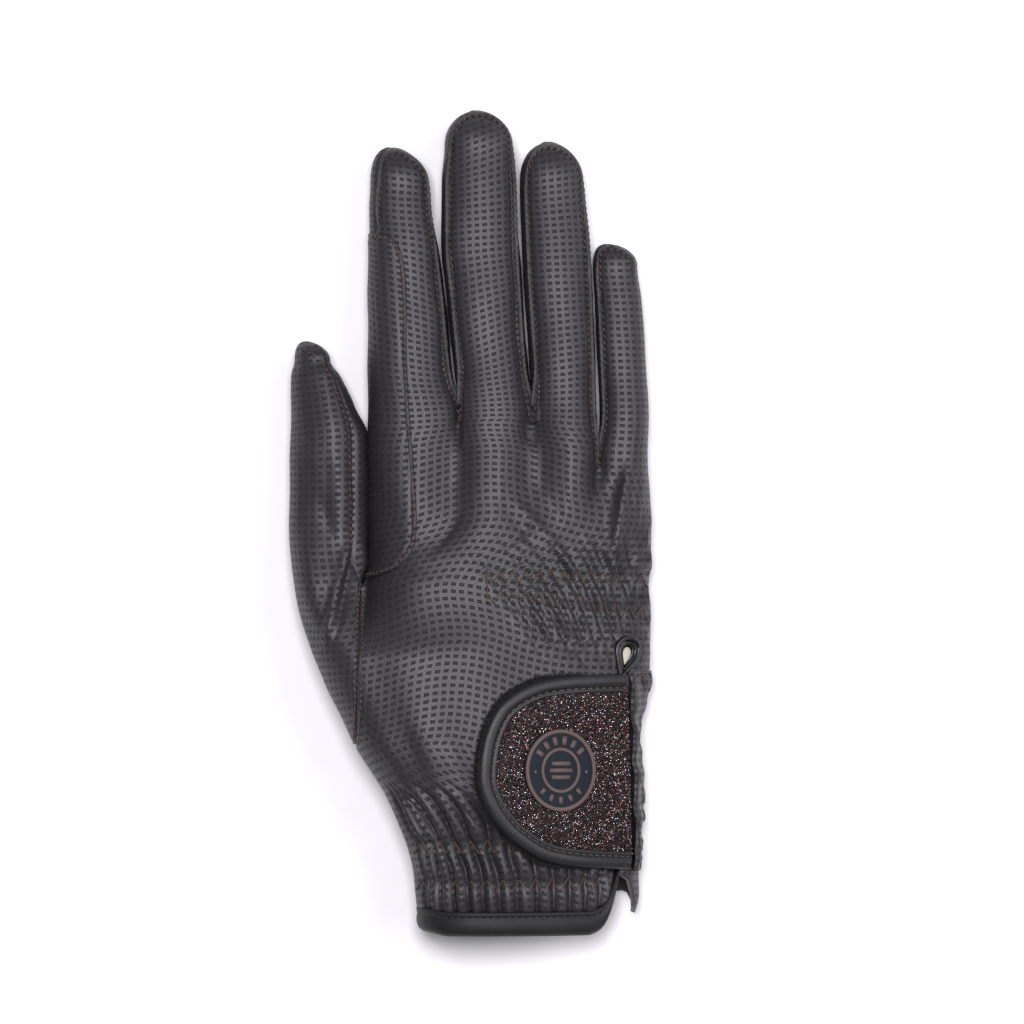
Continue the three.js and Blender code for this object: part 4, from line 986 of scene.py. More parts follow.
def scatter_tree():
    """Small pieces scattered over a surface: flat flakes, or thin upright hooks where Height is above 0."""
    tree, add, start = new_tree(
        "scatter",
        [("Density", "Float"), ("Size", "Float"), ("Height", "Float"), ("Tilt", "Float"), ("Lift", "Float"),
         ("Seed", "Int"), ("Material", "Material")],
    )
    spread_by = {name: start.outputs[name] for name in ("Density", "Seed")}
    values = {"Mesh": start.outputs["Geometry"], **spread_by}
    spots = add("GeometryNodeDistributePointsOnFaces", values, distribute_method="RANDOM")
    low, high = [
        add("ShaderNodeVectorMath", {0: most, "Scale": start.outputs["Tilt"]}, operation="SCALE").outputs[0]
        for most in ((-1.0, -1.0, -3.0), (1.0, 1.0, 3.0))
    ]
    turn = add("FunctionNodeRandomValue", {"Min": low, "Max": high}, data_type="FLOAT_VECTOR")
    turned = add("FunctionNodeEulerToRotation", {0: turn.outputs[0]}).outputs[0]
    piece = add("GeometryNodeMeshCylinder", {"Vertices": 5, "Radius": 0.5, "Depth": 1.0})
    width = start.outputs["Size"]
    tall = add("ShaderNodeCombineXYZ", {"X": width, "Y": width, "Z": start.outputs["Height"]}).outputs[0]
    grown = add("FunctionNodeRandomValue", {2: SCATTER_SIZES[0], 3: SCATTER_SIZES[1]}, data_type="FLOAT")
    scale = add("ShaderNodeVectorMath", {0: tall, "Scale": grown.outputs[1]}, operation="SCALE")
    lift = {0: spots.outputs["Normal"], "Scale": start.outputs["Lift"]}
    offset = add("ShaderNodeVectorMath", lift, operation="SCALE").outputs[0]
    raised = add("GeometryNodeSetPosition", {"Geometry": spots.outputs["Points"], "Offset": offset}).outputs[0]
    placed = place_each(add, raised, piece, spots.outputs["Rotation"], turned, scale.outputs[0])
    tint = add("FunctionNodeRandomValue", {"Seed": TINT_SEED}, data_type="FLOAT").outputs[1]
    values = {"Geometry": placed, "Name": "tint", "Value": tint}
    stored = add("GeometryNodeStoreNamedAttribute", values, data_type="FLOAT", domain="INSTANCE")
    return finish_tree(tree, add, start, stored.outputs[0])


TREES = {"stitch": stitch_tree(), "thread": thread_tree(), "scatter": scatter_tree()}


def grow(name, base, tree, **inputs):
    """The plain mesh that a tree grows on a base object, which is then removed."""
    modifier = base.modifiers.new("grow", "NODES")
    modifier.node_group = TREES[tree]
    for item in TREES[tree].interface.items_tree:
        if item.in_out == "INPUT" and item.name in inputs:
            modifier[item.identifier] = inputs[item.name]
    bpy.context.view_layer.update()
    evaluated = base.evaluated_get(bpy.context.evaluated_depsgraph_get())
    mesh = bpy.data.meshes.new_from_object(evaluated)
    mesh.name = name
    bpy.data.objects.remove(base)
    obj = bpy.data.objects.new(name, mesh)
    bpy.context.scene.collection.objects.link(obj)
    return obj


def rail(places, normals):
    """A bare mesh of lines with their normals, for a tree to follow."""
    groups = places if isinstance(places, list) else [places]
    ups = normals if isinstance(normals, list) else [normals]
    mesh = bpy.data.meshes.new("rail")
    verts = np.concatenate(groups) * MM
    edges, first = [], 0
    for group in groups:
        edges += [(first + k, first + k + 1) for k in range(len(group) - 1)]
        first += len(group)
    mesh.from_pydata(verts.tolist(), edges, [])
    attribute = mesh.attributes.new("up", "FLOAT_VECTOR", "POINT")
    attribute.data.foreach_set("vector", np.concatenate(ups).ravel().astype(np.float32))
    obj = bpy.data.objects.new("rail", mesh)
    bpy.context.scene.collection.objects.link(obj)
    return obj


def stitches(name, places, normals, pitch, length, width, material, slant=0.0, swing=0.0):
    """A row of stitches along a line on the leather."""
    sizes = {"Pitch": pitch * MM, "Length": length * MM, "Width": width * MM}
    obj = grow(name, rail(places, normals), "stitch", **sizes, Slant=slant, Swing=swing, Material=material)
    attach(obj, "root")


HOLE_SIZE = (0.6, 0.46)
HOLE_SINK = 0.1


def sewn_row(name, places, ups, pitch, length, width, **turn):
    """A row of brown stitches with a near-black mark between each two, painted shade where the needle went
    through.
    """
    stitches(name, places, ups, pitch, length, width, thread, **turn)
    skip = max(1, round(pitch / 2 / np.linalg.norm(places[1] - places[0])))
    sunk = places[skip:] - ups[skip:] * HOLE_SINK
    stitches(name + "_holes", sunk, ups[skip:], pitch, *HOLE_SIZE, needle_shade)


THREAD_RADIUS = 0.17
THREAD_SIDES = 6
ZIGZAG_HOLE = {"half": 0.16, "lift": 0.04, "radius": 1.5}
ZIGZAG_ARCH = {"points": 7, "low": 0.05, "rise": 0.22}


def zigzag(name, lines, tree=skin_tree):
    """Threads from corner to corner seen from above, arched over the leather, with near-black rings at the
    corners as painted shade of the holes.
    """
    tubes, ups, holes, hole_ups = [], [], [], []
    for corners in lines:
        for x, y in corners:
            spots = [(x, y + step * ZIGZAG_HOLE["half"]) for step in (-1, 0, 1)]
            places, normals = laid(spots, ZIGZAG_HOLE["lift"], tree)
            holes.append(places)
            hole_ups.append(normals)
        for a, b in zip(corners, corners[1:]):
            share = np.linspace(0, 1, ZIGZAG_ARCH["points"])
            places, normals = laid(mix(np.array(a), np.array(b), share[:, None]), 0.0, tree)
            arch = ZIGZAG_ARCH["low"] + ZIGZAG_ARCH["rise"] * np.sin(np.pi * share)
            tubes.append(places + normals * arch[:, None])
            ups.append(normals)
    radius = THREAD_RADIUS * MM
    obj = grow(name, rail(tubes, ups), "thread", Radius=radius, Sides=THREAD_SIDES, Material=thread)
    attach(obj, "root")
    wider = {"Radius": ZIGZAG_HOLE["radius"] * radius, "Sides": THREAD_SIDES}
    dark = grow(name + "_holes", rail(holes, hole_ups), "thread", **wider, Material=needle_shade)
    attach(dark, "root")


# Materials
def new_material(name, colour, roughness, metallic=0.0, specular=0.5):
    """A material with its shader, and the ways to add nodes and links to it."""
    material = bpy.data.materials.new(name)
    material.use_nodes = True
    shader = material.node_tree.nodes["Principled BSDF"]
    shader.inputs["Base Color"].default_value = (*colour, 1)
    shader.inputs["Roughness"].default_value = roughness
    shader.inputs["Metallic"].default_value = metallic
    shader.inputs["Specular IOR Level"].default_value = specular
    return material, adder(material.node_tree), shader, material.node_tree.links


def noise(add, scale, detail=3.0, roughness=0.55):
    """A noise texture over the object."""
    place = add("ShaderNodeTexCoord").outputs["Object"]
    values = {"Vector": place, "Scale": scale, "Detail": detail, "Roughness": roughness}
    return add("ShaderNodeTexNoise", values)


def ramp(add, factor, stops, interpolation="LINEAR"):
    """Colours by a factor between stops."""
    node = add("ShaderNodeValToRGB", {"Fac": factor})
    node.color_ramp.interpolation = interpolation
    elements = node.color_ramp.elements
    while len(elements) < len(stops):
        elements.new(0.5)
    for element, (position, colour) in zip(elements, stops):
        element.position = position
        element.color = (*colour, 1)
    return node.outputs["Color"]


def step_between(add, value, low, high):
    """A soft step from 0 at low to 1 at high."""
    values = {"Value": value, "From Min": low, "From Max": high}
    return add("ShaderNodeMapRange", values, interpolation_type="SMOOTHSTEP").outputs[0]


def bump(add, height, distance, normal=None):
    """A normal that follows a height."""
    values = {"Height": height, "Distance": distance, "Strength": 1.0}
    if normal is not None:
        values["Normal"] = normal
    return add("ShaderNodeBump", values).outputs[0]


WOBBLE = {"scale": 260.0, "size": 0.22}  # how far the sunk pattern is off its grid
SUNK_HALF = (0.64, 0.40)  # half the size of a sunk rectangle, in millimetres
SUNK_STEP = (0.06, -0.05)  # its edge, past the half size
ISLAND_STEP = (-0.19, -0.32)  # edge of the raised island inside it
ISLAND_RISE = 0.7
SUNK_DEPTHS = {"least": 0.8, "more": 0.3}
SUNK_DEPTH = 0.0003
GRAIN_DEPTH = 0.00005
GRAIN_SCALE = 2600.0
PORE_SCALE = 3200.0
CLOUD_SCALE = 45.0
PORE_SHARE = 0.6
LEATHER_BARE = ((0.05, 0.046, 0.052), 0.4)  # colour and roughness without the pattern
LEATHER_TONES = [(0.3, (0.0163, 0.0143, 0.0175)), (0.7, (0.0238, 0.021, 0.0255))]
# painted shade: the grooves of the sunk rectangles are mixed towards near-black in the colour, as the shade that
# falls in them
SUNK_SHADE = {"share": 0.75, "colour": (0.002, 0.0018, 0.002, 1)}
LEATHER_ROUGHNESS = {"least": 0.42, "grain": 0.14, "sunk": 0.3}


def patterned_leather(name):
    """Dark leather with small sunk rectangles in rows, their grooves darkened in the colour as painted shade;
    the pattern map counts one unit to a rectangle.
    """
    material, add, shader, links = new_material(name, *LEATHER_BARE)

    def vector(operation, values):
        return add("ShaderNodeVectorMath", values, operation=operation).outputs[0]

    place = add("ShaderNodeUVMap", uv_map="pattern").outputs[0]
    wobble = noise(add, WOBBLE["scale"], 1.0).outputs["Color"]
    shift = vector("SUBTRACT", {0: wobble, 1: (0.5, 0.5, 0.5)})
    moved = vector("ADD", {0: place, 1: vector("SCALE", {0: shift, "Scale": WOBBLE["size"]})})
    parts = add("ShaderNodeSeparateXYZ", {0: vector("FRACTION", {0: moved})})
    outside = []
    for axis in (0, 1):
        off = calc(add, "ABSOLUTE", calc(add, "SUBTRACT", parts.outputs[axis], 0.5))
        outside.append(calc(add, "SUBTRACT", calc(add, "MULTIPLY", off, CELL[axis]), SUNK_HALF[axis]))
    past_edge = calc(add, "MAXIMUM", *outside)
    sunk = step_between(add, past_edge, *SUNK_STEP)
    island = step_between(add, past_edge, *ISLAND_STEP)
    ring = calc(add, "SUBTRACT", sunk, calc(add, "MULTIPLY", island, ISLAND_RISE))
    cell = vector("FLOOR", {0: moved})
    chance = add("ShaderNodeTexWhiteNoise", {"Vector": cell}, noise_dimensions="3D").outputs["Value"]
    own = calc(add, "ADD", calc(add, "MULTIPLY", chance, SUNK_DEPTHS["more"]), SUNK_DEPTHS["least"])
    depth = calc(add, "MULTIPLY", ring, own)
    grain = noise(add, GRAIN_SCALE, 2.0, 0.6).outputs["Fac"]
    on_object = add("ShaderNodeTexCoord").outputs["Object"]
    pores = add("ShaderNodeTexVoronoi", {"Vector": on_object, "Scale": PORE_SCALE}).outputs["Distance"]
    base = ramp(add, noise(add, CLOUD_SCALE, 3.0).outputs["Fac"], LEATHER_TONES)
    # painted shade: the colour goes towards near-black by the depth of the sunk pattern
    blend = {0: calc(add, "MULTIPLY", depth, SUNK_SHADE["share"]), 6: base, 7: SUNK_SHADE["colour"]}
    links.new(add("ShaderNodeMix", blend, data_type="RGBA").outputs[2], shader.inputs["Base Color"])
    rough = calc(add, "MULTIPLY", grain, LEATHER_ROUGHNESS["grain"])
    rough = calc(add, "ADD", rough, calc(add, "MULTIPLY", depth, LEATHER_ROUGHNESS["sunk"]))
    links.new(calc(add, "ADD", rough, LEATHER_ROUGHNESS["least"]), shader.inputs["Roughness"])
    fine = bump(add, calc(add, "ADD", grain, calc(add, "MULTIPLY", pores, PORE_SHARE)), GRAIN_DEPTH)
    links.new(bump(add, calc(add, "SUBTRACT", 1.0, depth), SUNK_DEPTH, fine), shader.inputs["Normal"])
    return material


PLAIN_CLOUDS = 70.0
PLAIN_GLOSS = 0.2  # how much the roughness varies


def plain(name, colour, roughness, grain_scale, grain_depth, vary=0.25, specular=0.5, sheen=0.0):
    """A plain material whose colour and gloss vary a little, with a fine grain."""
    material, add, shader, links = new_material(name, colour, roughness, specular=specular)
    fine = noise(add, grain_scale, 3.0, 0.6).outputs["Fac"]
    clouds = noise(add, PLAIN_CLOUDS, 3.0).outputs["Fac"]
    low = tuple(c * (1 - vary) for c in colour)
    high = tuple(min(1, c * (1 + vary)) for c in colour)
    links.new(ramp(add, clouds, [(0.3, low), (0.7, high)]), shader.inputs["Base Color"])
    rough = calc(add, "ADD", calc(add, "MULTIPLY", fine, PLAIN_GLOSS), roughness - PLAIN_GLOSS / 2)
    links.new(rough, shader.inputs["Roughness"])
    links.new(bump(add, fine, grain_depth), shader.inputs["Normal"])
    shader.inputs["Sheen Weight"].default_value = sheen
    return material


GLITTER_TINTS = [
    (0.0, (0.008, 0.007, 0.008)), (0.48, (0.06, 0.017, 0.015)), (0.66, (0.24, 0.065, 0.05)),
    (0.77, (0.6, 0.26, 0.2)), (0.83, (0.03, 0.04, 0.06)), (0.92, (0.95, 0.93, 0.98)),
]


def glitter(name):
    """Flakes whose colour follows the tint that each one carries."""
    material, add, shader, links = new_material(name, (0.3, 0.2, 0.2), 0.2, metallic=0.85)
    tint = add("ShaderNodeAttribute", attribute_name="tint").outputs["Fac"]
    links.new(ramp(add, tint, GLITTER_TINTS, "CONSTANT"), shader.inputs["Base Color"])
    return material


leather = patterned_leather("patterned leather")
flesh = plain("flesh side of leather", (0.035, 0.031, 0.03), 0.85, 1800.0, 0.0001, sheen=0.3)
edge_leather = plain("cut edge leather", (0.0165, 0.0145, 0.0165), 0.6, 700.0, 0.0004, vary=0.6)
bound = plain("binding leather", (0.0102, 0.0108, 0.0128), 0.48, 1700.0, 0.00005, specular=0.4)
hem_leather = plain("hem leather", (0.0085, 0.0083, 0.0095), 0.58, 1700.0, 0.00006, specular=0.3)
piping_leather = plain("piping leather", (0.005, 0.005, 0.006), 0.36, 1700.0, 0.00004)
cloth = plain("dark glitter ground", (0.007, 0.006, 0.007), 0.75, 900.0, 0.0002)
flakes = glitter("glitter flakes")
hook = plain("hook tape", (0.006, 0.006, 0.007), 0.6, 2500.0, 0.0001)
field_rubber = plain("badge field rubber", (0.009, 0.0145, 0.02), 0.75, 3500.0, 0.00003, vary=0.1, specular=0.2)
ring_rubber = plain("badge ring rubber", (0.095, 0.063, 0.057), 0.6, 3500.0, 0.00003, vary=0.1, specular=0.3)
thread = plain("brown thread", (0.07, 0.043, 0.037), 0.7, 4000.0, 0.00008)
dark_thread = plain("dark thread", (0.03, 0.022, 0.022), 0.6, 4000.0, 0.00008)
# painted shade: near-black marks sunk at the stitches and deep inside the eyelet stand for the shade in these
# holes
needle_shade = plain("needle hole shade", (0.002, 0.002, 0.002), 0.9, 2000.0, 0.00002)
lining = plain("pale lining", (0.55, 0.53, 0.44), 0.9, 1500.0, 0.0001, vary=0.1)

# Leather panels
for panel in ("back_panel", "palm_panel", "thumb_panel", *GUSSETS):
    wall(panel.replace("_panel", "_leather"), panel, leather, flesh)

# Welted seams round the fingers
WELTS = table(
    "digit left right tip low_left low_right",
    [1, 2.55, 1.15, 1.5, 0.845, 0.622],
    [2, 2.5, 1.2, 1.5, 0.622, 0.622],
    [3, 2.6, 1.0, 1.5, 0.622, 0.566],
    [4, 1.9, 0.9, 1.4, 0.566, 0.79],
)  # how far a welt lies inside the outline on each side and at the tip, and where it starts and ends
WELT_WIDTH = 1.15
WELT_HEIGHT = 0.8
WELT_END = 9.0  # length over which a welt grows out of the seam at its ends
WELT_AT_TIP = 0.6
STITCH_PITCH = 1.8


def finger_line(row):
    """A line seen from above that runs up a finger's left side, round its tip and down its right side."""
    index = int(WELTS["digit"][row])
    inset_left, inset_right, inset_tip = (WELTS[name][row] for name in ("left", "right", "tip"))
    digit = DIGITS[index]
    round_from = digit["rows"]["at"][-1]
    reach = (digit["tip"] - round_from) * LENGTH

    def side(at, sign, inset):
        s = digit_section(index, np.array(float(at)))
        crotch = index - 1 if sign < 0 else index
        ease = joined(crotch, at) if 0 <= crotch < LAST else 0.0
        half = s["left"] if sign < 0 else s["right"]
        return [float(s["centre"] + sign * (half - inset * (1 - ease))), (at - 0.5) * LENGTH]

    s = digit_section(index, np.array(round_from))
    line = [side(at, -1, inset_left) for at in np.linspace(WELTS["low_left"][row], round_from, 60)]
    for degrees in range(3, 180, 6):
        angle = math.radians(degrees)
        rise = math.sin(angle)
        half = float(s["left"]) - inset_left if degrees < 90 else float(s["right"]) - inset_right
        x = mix(float(s["centre"]), BREADTH * digit["lean"], rise * rise) - half * math.cos(angle)
        line.append([x, (round_from - 0.5) * LENGTH + (reach - inset_tip) * rise])
    line += [side(at, 1, inset_right) for at in np.linspace(round_from, WELTS["low_right"][row], 60)]
    return curve(np.array(line), 0.5, 3)


WELT_SIZES = {"least": 0.15, "wave": 0.1}
WELT_LEAN = (0.9, 0.25)  # how much it leans outward along the leather, and off it
WELT_SINK = 0.5  # how far its foot is in the leather
GROOVE = 0.3  # depth of the groove between its two edges
WELT_STITCH = {"pitch": STITCH_PITCH, "length": 1.3, "width": 0.46, "slant": 0.35, "swing": 0.12}
WELT_HOLE = {"pitch": STITCH_PITCH, "length": 0.75, "width": 0.55, "slant": 0.9}
WELT_SEWN_AT = 0.3  # how far inside the welt's line the stitches lie
WELT_HOLES_AT = 0.32  # how far inside the stitches their holes lie


def welt_section():
    """Places across and up of the two edges sewn together, from one foot to the other."""
    h, top = WELT_HEIGHT / 2, WELT_WIDTH
    return [
        (h * 0.3, -WELT_SINK), (h * 0.7, 0.05), (h * 1.05, top * 0.5), (h, top - 0.16), (h * 0.62, top),
        (0.12, top - 0.03), (0.0, top - GROOVE), (-0.12, top - 0.03), (-h * 0.62, top), (-h, top - 0.16),
        (-h, -WELT_SINK),
    ]


def welt(name, line, top=math.inf):
    """Two leather edges sewn together that stand out of a seam; lower past the place top."""
    places, normals = laid(line)
    reach = reach_along(places)
    sizes = mix(WELT_SIZES["least"], 1, smooth(0, WELT_END, np.minimum(reach, reach[-1] - reach)))
    sizes *= 1 - (1 - WELT_AT_TIP) * smooth(top - 4, top + 3, places[:, 1])
    sizes *= 1 + WELT_SIZES["wave"] * np.sin(2 * np.pi * reach / STITCH_PITCH)
    for _ in range(3):
        places[1:-1] = eased(places)
    along = tangents(places)
    flat = unit(np.stack([-along[:, 1], along[:, 0], 0 * along[:, 0]], -1))
    out = unit(flat * WELT_LEAN[0] + normals * WELT_LEAN[1])
    obj = sweep(name, places, out, [(-x, y) for x, y in welt_section()], [edge_leather], sizes=sizes)
    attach(obj, "root")
    inside = places - flat * WELT_SEWN_AT
    stitches(name + "_stitches", *laid(inside, 0.05), material=thread, **WELT_STITCH)
    # near-black marks inside the stitches: painted shade of their holes
    stitches(name + "_holes", *laid(inside - flat * WELT_HOLES_AT, -0.04), material=needle_shade, **WELT_HOLE)


for row, name in enumerate(["index_welt", "middle_welt", "ring_welt", "little_welt"]):
    last_row = DIGITS[int(WELTS["digit"][row])]["rows"]["at"][-1]
    welt(name, finger_line(row), (last_row - 0.5) * LENGTH)

THUMB_WELT_AT = (0.694, 0.45)  # where along the glove the thumb's welt runs, seen from above
THUMB_WELT_SHARE = (0.62, 0.74)  # its share of the thumb's half width there
THUMB_WELT_START = (-46.3, 48.2)
thumb_line = [THUMB_WELT_START]
for at in np.linspace(*THUMB_WELT_AT, 60):
    thumb = digit_section(0, np.array(at))
    share = mix(*THUMB_WELT_SHARE, (THUMB_WELT_AT[0] - at) / 0.25)
    thumb_line.append((float(thumb["centre"] + thumb["right"] * share), (at - 0.5) * LENGTH))
welt("thumb_welt", resample(np.array(thumb_line), 0.55))


def normals_of(grid):
    """Normals of a grid of places."""
    return unit(np.cross(np.gradient(grid, axis=1), np.gradient(grid, axis=0)))


def grid_tree(grid):
    """A tree for finding places on a grid's faces."""
    faces = grid_faces(numbered(*grid.shape[:2]))
    return BVHTree.FromPolygons([Vector(place) for place in grid.reshape(-1, 3)], faces.tolist())


def slab(name, top, under, materials, places=None):
    """A closed slab between two grids of places; rows run anticlockwise about the outward side."""
    number = numbered(*top.shape[:2])
    n = number.size
    quads = grid_faces(number)
    polys = quads.tolist() + (quads[:, ::-1] + n).tolist()
    ring = list(number[0, :]) + list(number[1:, -1]) + list(number[-1, :-1][::-1]) + list(number[1:-1, 0][::-1])
    for k, a in enumerate(ring):
        b = ring[(k + 1) % len(ring)]
        polys.append([b, a, a + n, b + n])
    uv = None
    if places is not None:
        flat = places.reshape(-1, 2)
        uv = [flat[c % n] for poly in polys for c in poly]
    return add_mesh(name, np.concatenate([top.reshape(-1, 3), under.reshape(-1, 3)]), polys, materials, uv=uv)


# Patch over the index finger
PATCH = table(
    "at x",
    [-16.2, -31.0],
    [-15.9, -28.0],
    [-15.0, -24.8],
    [-13.4, -20.8],
    [-10.0, -17.2],
    [-5.0, -15.2],
    [1.0, -14.9],
    [10.0, -15.4],
    [22.0, -16.3],
    [34.0, -17.2],
    [46.0, -17.7],
    [66.0, -18.0],
    [73.8, -18.9],
    [78.3, -20.8],
    [80.2, -23.6],
    [80.8, -27.6],
)  # its edge seen from above: at is the place along the glove
PATCH_SIDE_LOW = 0.437
PATCH_NARROWEST = 0.04
PATCH_STANDS = 0.75
PATCH_ROWS = 150
PATCH_ACROSS = 26
PATCH_DOWN = 12
PATCH_EDGE = 0.7  # width of its rounded edge
PATCH_SEAM = {"at": 1.35, "half": 0.5, "depth": 0.3}
PATCH_WAVE = 0.12
PATCH_UNDER = 0.45


def patch_spot(side, share, at):
    """A place of the index finger's skin and its place on the flat leather."""
    rows = digit_rows(1)
    grid = numbers[1][side]
    k = int(np.clip(np.searchsorted(rows, at) - 1, 0, len(rows) - 2))
    f = (at - rows[k]) / (rows[k + 1] - rows[k])
    c = share * (grid.shape[1] - 1)
    j = int(min(grid.shape[1] - 2, c))
    g = c - j

    def blend_of(values):
        low = mix(values[grid[k, j]], values[grid[k, j + 1]], g)
        return mix(low, mix(values[grid[k + 1, j]], values[grid[k + 1, j + 1]], g), f)

    normal = blend_of(smooth_normals)
    return blend_of(points), normal / np.linalg.norm(normal), blend_of(PATTERN[1, side])


def share_across(x, at):
    """How far across the back of the index finger a place x lies."""
    rows = digit_rows(1)
    grid = numbers[1]["back"]
    k = int(np.clip(np.searchsorted(rows, at) - 1, 0, len(rows) - 2))
    f = (at - rows[k]) / (rows[k + 1] - rows[k])
    xs = mix(points[grid[k], 0], points[grid[k + 1], 0], f)
    return max(PATCH_NARROWEST, float(np.interp(x, xs, np.linspace(0, 1, len(xs)))))


def build_patch():
    """The thick patch over the index finger, drawn in along its seam; gives back its upper side."""
    low, high = PATCH["at"][0] / LENGTH + 0.5, PATCH["at"][-1] / LENGTH + 0.5
    ats = mix(low, high, (1 - np.cos(np.linspace(0, np.pi, PATCH_ROWS))) / 2)
    place, normal, flat = [], [], []
    for at in ats:
        edge = share_across(float(read(PATCH, "x", (at - 0.5) * LENGTH)), at)
        side_at = max(at, PATCH_SIDE_LOW + (at - low) * 0.1)
        shares = [("left", s, side_at) for s in np.linspace(0.95, 0, PATCH_DOWN, endpoint=False)]
        shares += [("back", s * edge, at) for s in np.sin(np.linspace(0, np.pi / 2, PATCH_ACROSS))]
        for values, found in zip((place, normal, flat), zip(*(patch_spot(*spot) for spot in shares))):
            values.append(found)
    place, normal, flat = np.array(place), np.array(normal), np.array(flat)
    for _ in range(6):
        place[1:-1] = eased(place)
    along_row = np.linalg.norm(place[:, 1:] - place[:, :-1], axis=2)
    to_edge = np.cumsum(along_row[:, ::-1], axis=1)[:, ::-1]
    to_edge = np.concatenate([to_edge, np.zeros((PATCH_ROWS, 1))], axis=1)
    x, y = place[..., 0], place[..., 1]
    reach = np.minimum(to_edge, np.minimum(np.abs(y - y[0]), np.abs(y - y[-1])))
    round_off = 1 - np.clip(1 - reach / PATCH_EDGE, 0, 1) ** 2
    off_seam = (reach - PATCH_SEAM["at"]) / PATCH_SEAM["half"]
    lift = PATCH_STANDS * mix(0.45, 1, round_off) * (1 - PATCH_SEAM["depth"] * np.exp(-(off_seam**2)))
    lift = lift + PATCH_WAVE * np.sin(0.31 * y + 0.2 * x) * (reach > 1.5)
    top = place + normal * lift[..., None]
    under = place - normal * PATCH_UNDER
    top[..., 2], under[..., 2] = np.maximum(top[..., 2], 0.3), np.maximum(under[..., 2], 0.1)
    obj = slab("index_patch_leather", top, under, [leather], flat / CELL)
    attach(obj, "root")
    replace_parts(obj, "index_patch")
    return top


patch_tree = grid_tree(build_patch())
SEAM_OF_PATCH = [
    (-27.6, 79.6), (-24.6, 79.7), (-21.4, 78.0), (-19.6, 73.6), (-18.7, 66.0), (-18.4, 58.0), (-18.4, 46.0),
    (-17.9, 34.0), (-17.0, 22.0), (-16.1, 10.0), (-15.6, 1.0), (-15.9, -5.0), (-17.8, -9.6), (-21.4, -13.0),
    (-25.8, -14.4), (-29.0, -14.9),
]
sewn, ups = laid(curve(SEAM_OF_PATCH, 0.6, 6), 0.1, patch_tree)
sewn_row("patch_stitches", sewn, ups, 1.75, 1.45, 0.46, slant=0.25, swing=0.18)

# Twin seam of the thumb
for name, line in {
    "twin_stitches_left": [(-30.9, -17.6), (-31.5, -25.0), (-31.6, -38.0), (-32.0, -50.0), (-32.6, -62.0)],
    "twin_stitches_right": [(-29.6, -17.4), (-30.2, -25.0), (-30.1, -38.0), (-30.4, -50.0), (-31.2, -62.0)],
}.items():
    sewn, ups = laid(curve(line, 0.6, 4), 0.08)
    sewn_row(name, sewn, ups, 1.7, 1.4, 0.4, slant=0.12, swing=0.1)

# Zigzag threads of the knuckle elastic and of the cuff
KNUCKLE_ROWS = table(
    "x high_a low_a high_b low_b",
    [4.6, -14.2, -16.9, -19.4, -22.8],
    [16.0, -13.6, -17.2, -19.2, -22.8],
    [28.0, -13.8, -17.4, -20.8, -24.6],
    [40.0, -14.6, -18.0, -23.0, -26.6],
    [50.0, -15.2, -18.4, -24.4, -27.8],
)
# half is half a period, from and to are places across, and rise is how far a corner is from the row's middle
ZIG = {"half": 1.79, "from": 4.6, "to": 50.3, "uneven": (0.3, 0.2)}
CUFF_ZIG = {"half": 2.25, "from": -15.6, "rise": 1.85, "slope": 0.02, "level_at": 10}
CUFF_ZIGS = [(-90.4, 16.0), (-101.6, 37.0)]  # where the middle of each row lies along the glove, and its end
xs = np.arange(ZIG["from"], ZIG["to"], ZIG["half"])
lines = []
for high, low in (("high_a", "low_a"), ("high_b", "low_b")):
    ends = [np.interp(xs, KNUCKLE_ROWS["x"], KNUCKLE_ROWS[c]) for c in (high, low)]
    lines.append([(x + ZIG["uneven"][0] * k % ZIG["uneven"][1], ends[k % 2][k]) for k, x in enumerate(xs)])
lines.append([(4.6, -14.2), (4.7, -18.4), (5.0, -22.8)])
zigzag("knuckle_zigzag", lines)
cuff_lines = []
for middle, until in CUFF_ZIGS:
    xs = np.arange(CUFF_ZIG["from"], until, CUFF_ZIG["half"])
    ys = [middle + (CUFF_ZIG["rise"] if k % 2 else -CUFF_ZIG["rise"]) for k in range(len(xs))]
    cuff_lines.append([(x, y + CUFF_ZIG["slope"] * (x - CUFF_ZIG["level_at"])) for x, y in zip(xs, ys)])
zigzag("cuff_zigzag", cuff_lines)

# Folded binding of the hem
HEM_SECTION = [
    (1.0, 0.15), (0.97, 0.5), (0.9, 0.66), (0.82, 0.62), (0.77, 0.34), (0.71, 0.38), (0.64, 0.72), (0.5, 0.95),
    (0.34, 1.02), (0.2, 0.95), (0.08, 0.72), (0.0, 0.3), (-0.03, -0.4), (0.0, -1.3), (0.08, -1.75), (0.3, -1.95),
    (0.7, -1.9), (1.0, -1.6),
]  # share of the binding's width from the hem, and how far it stands off the leather
HEM_GROOVE = 4  # the place of the section in which the stitches lie
HEM_SEWN_AT = 0.765
HEM_ROWS = 8
HEM_COLUMNS = {"back": 26, "palm": 14, "left": 8}
HEM_BELOW = 20.0  # how far a place past the hem is moved out, for a share of 1


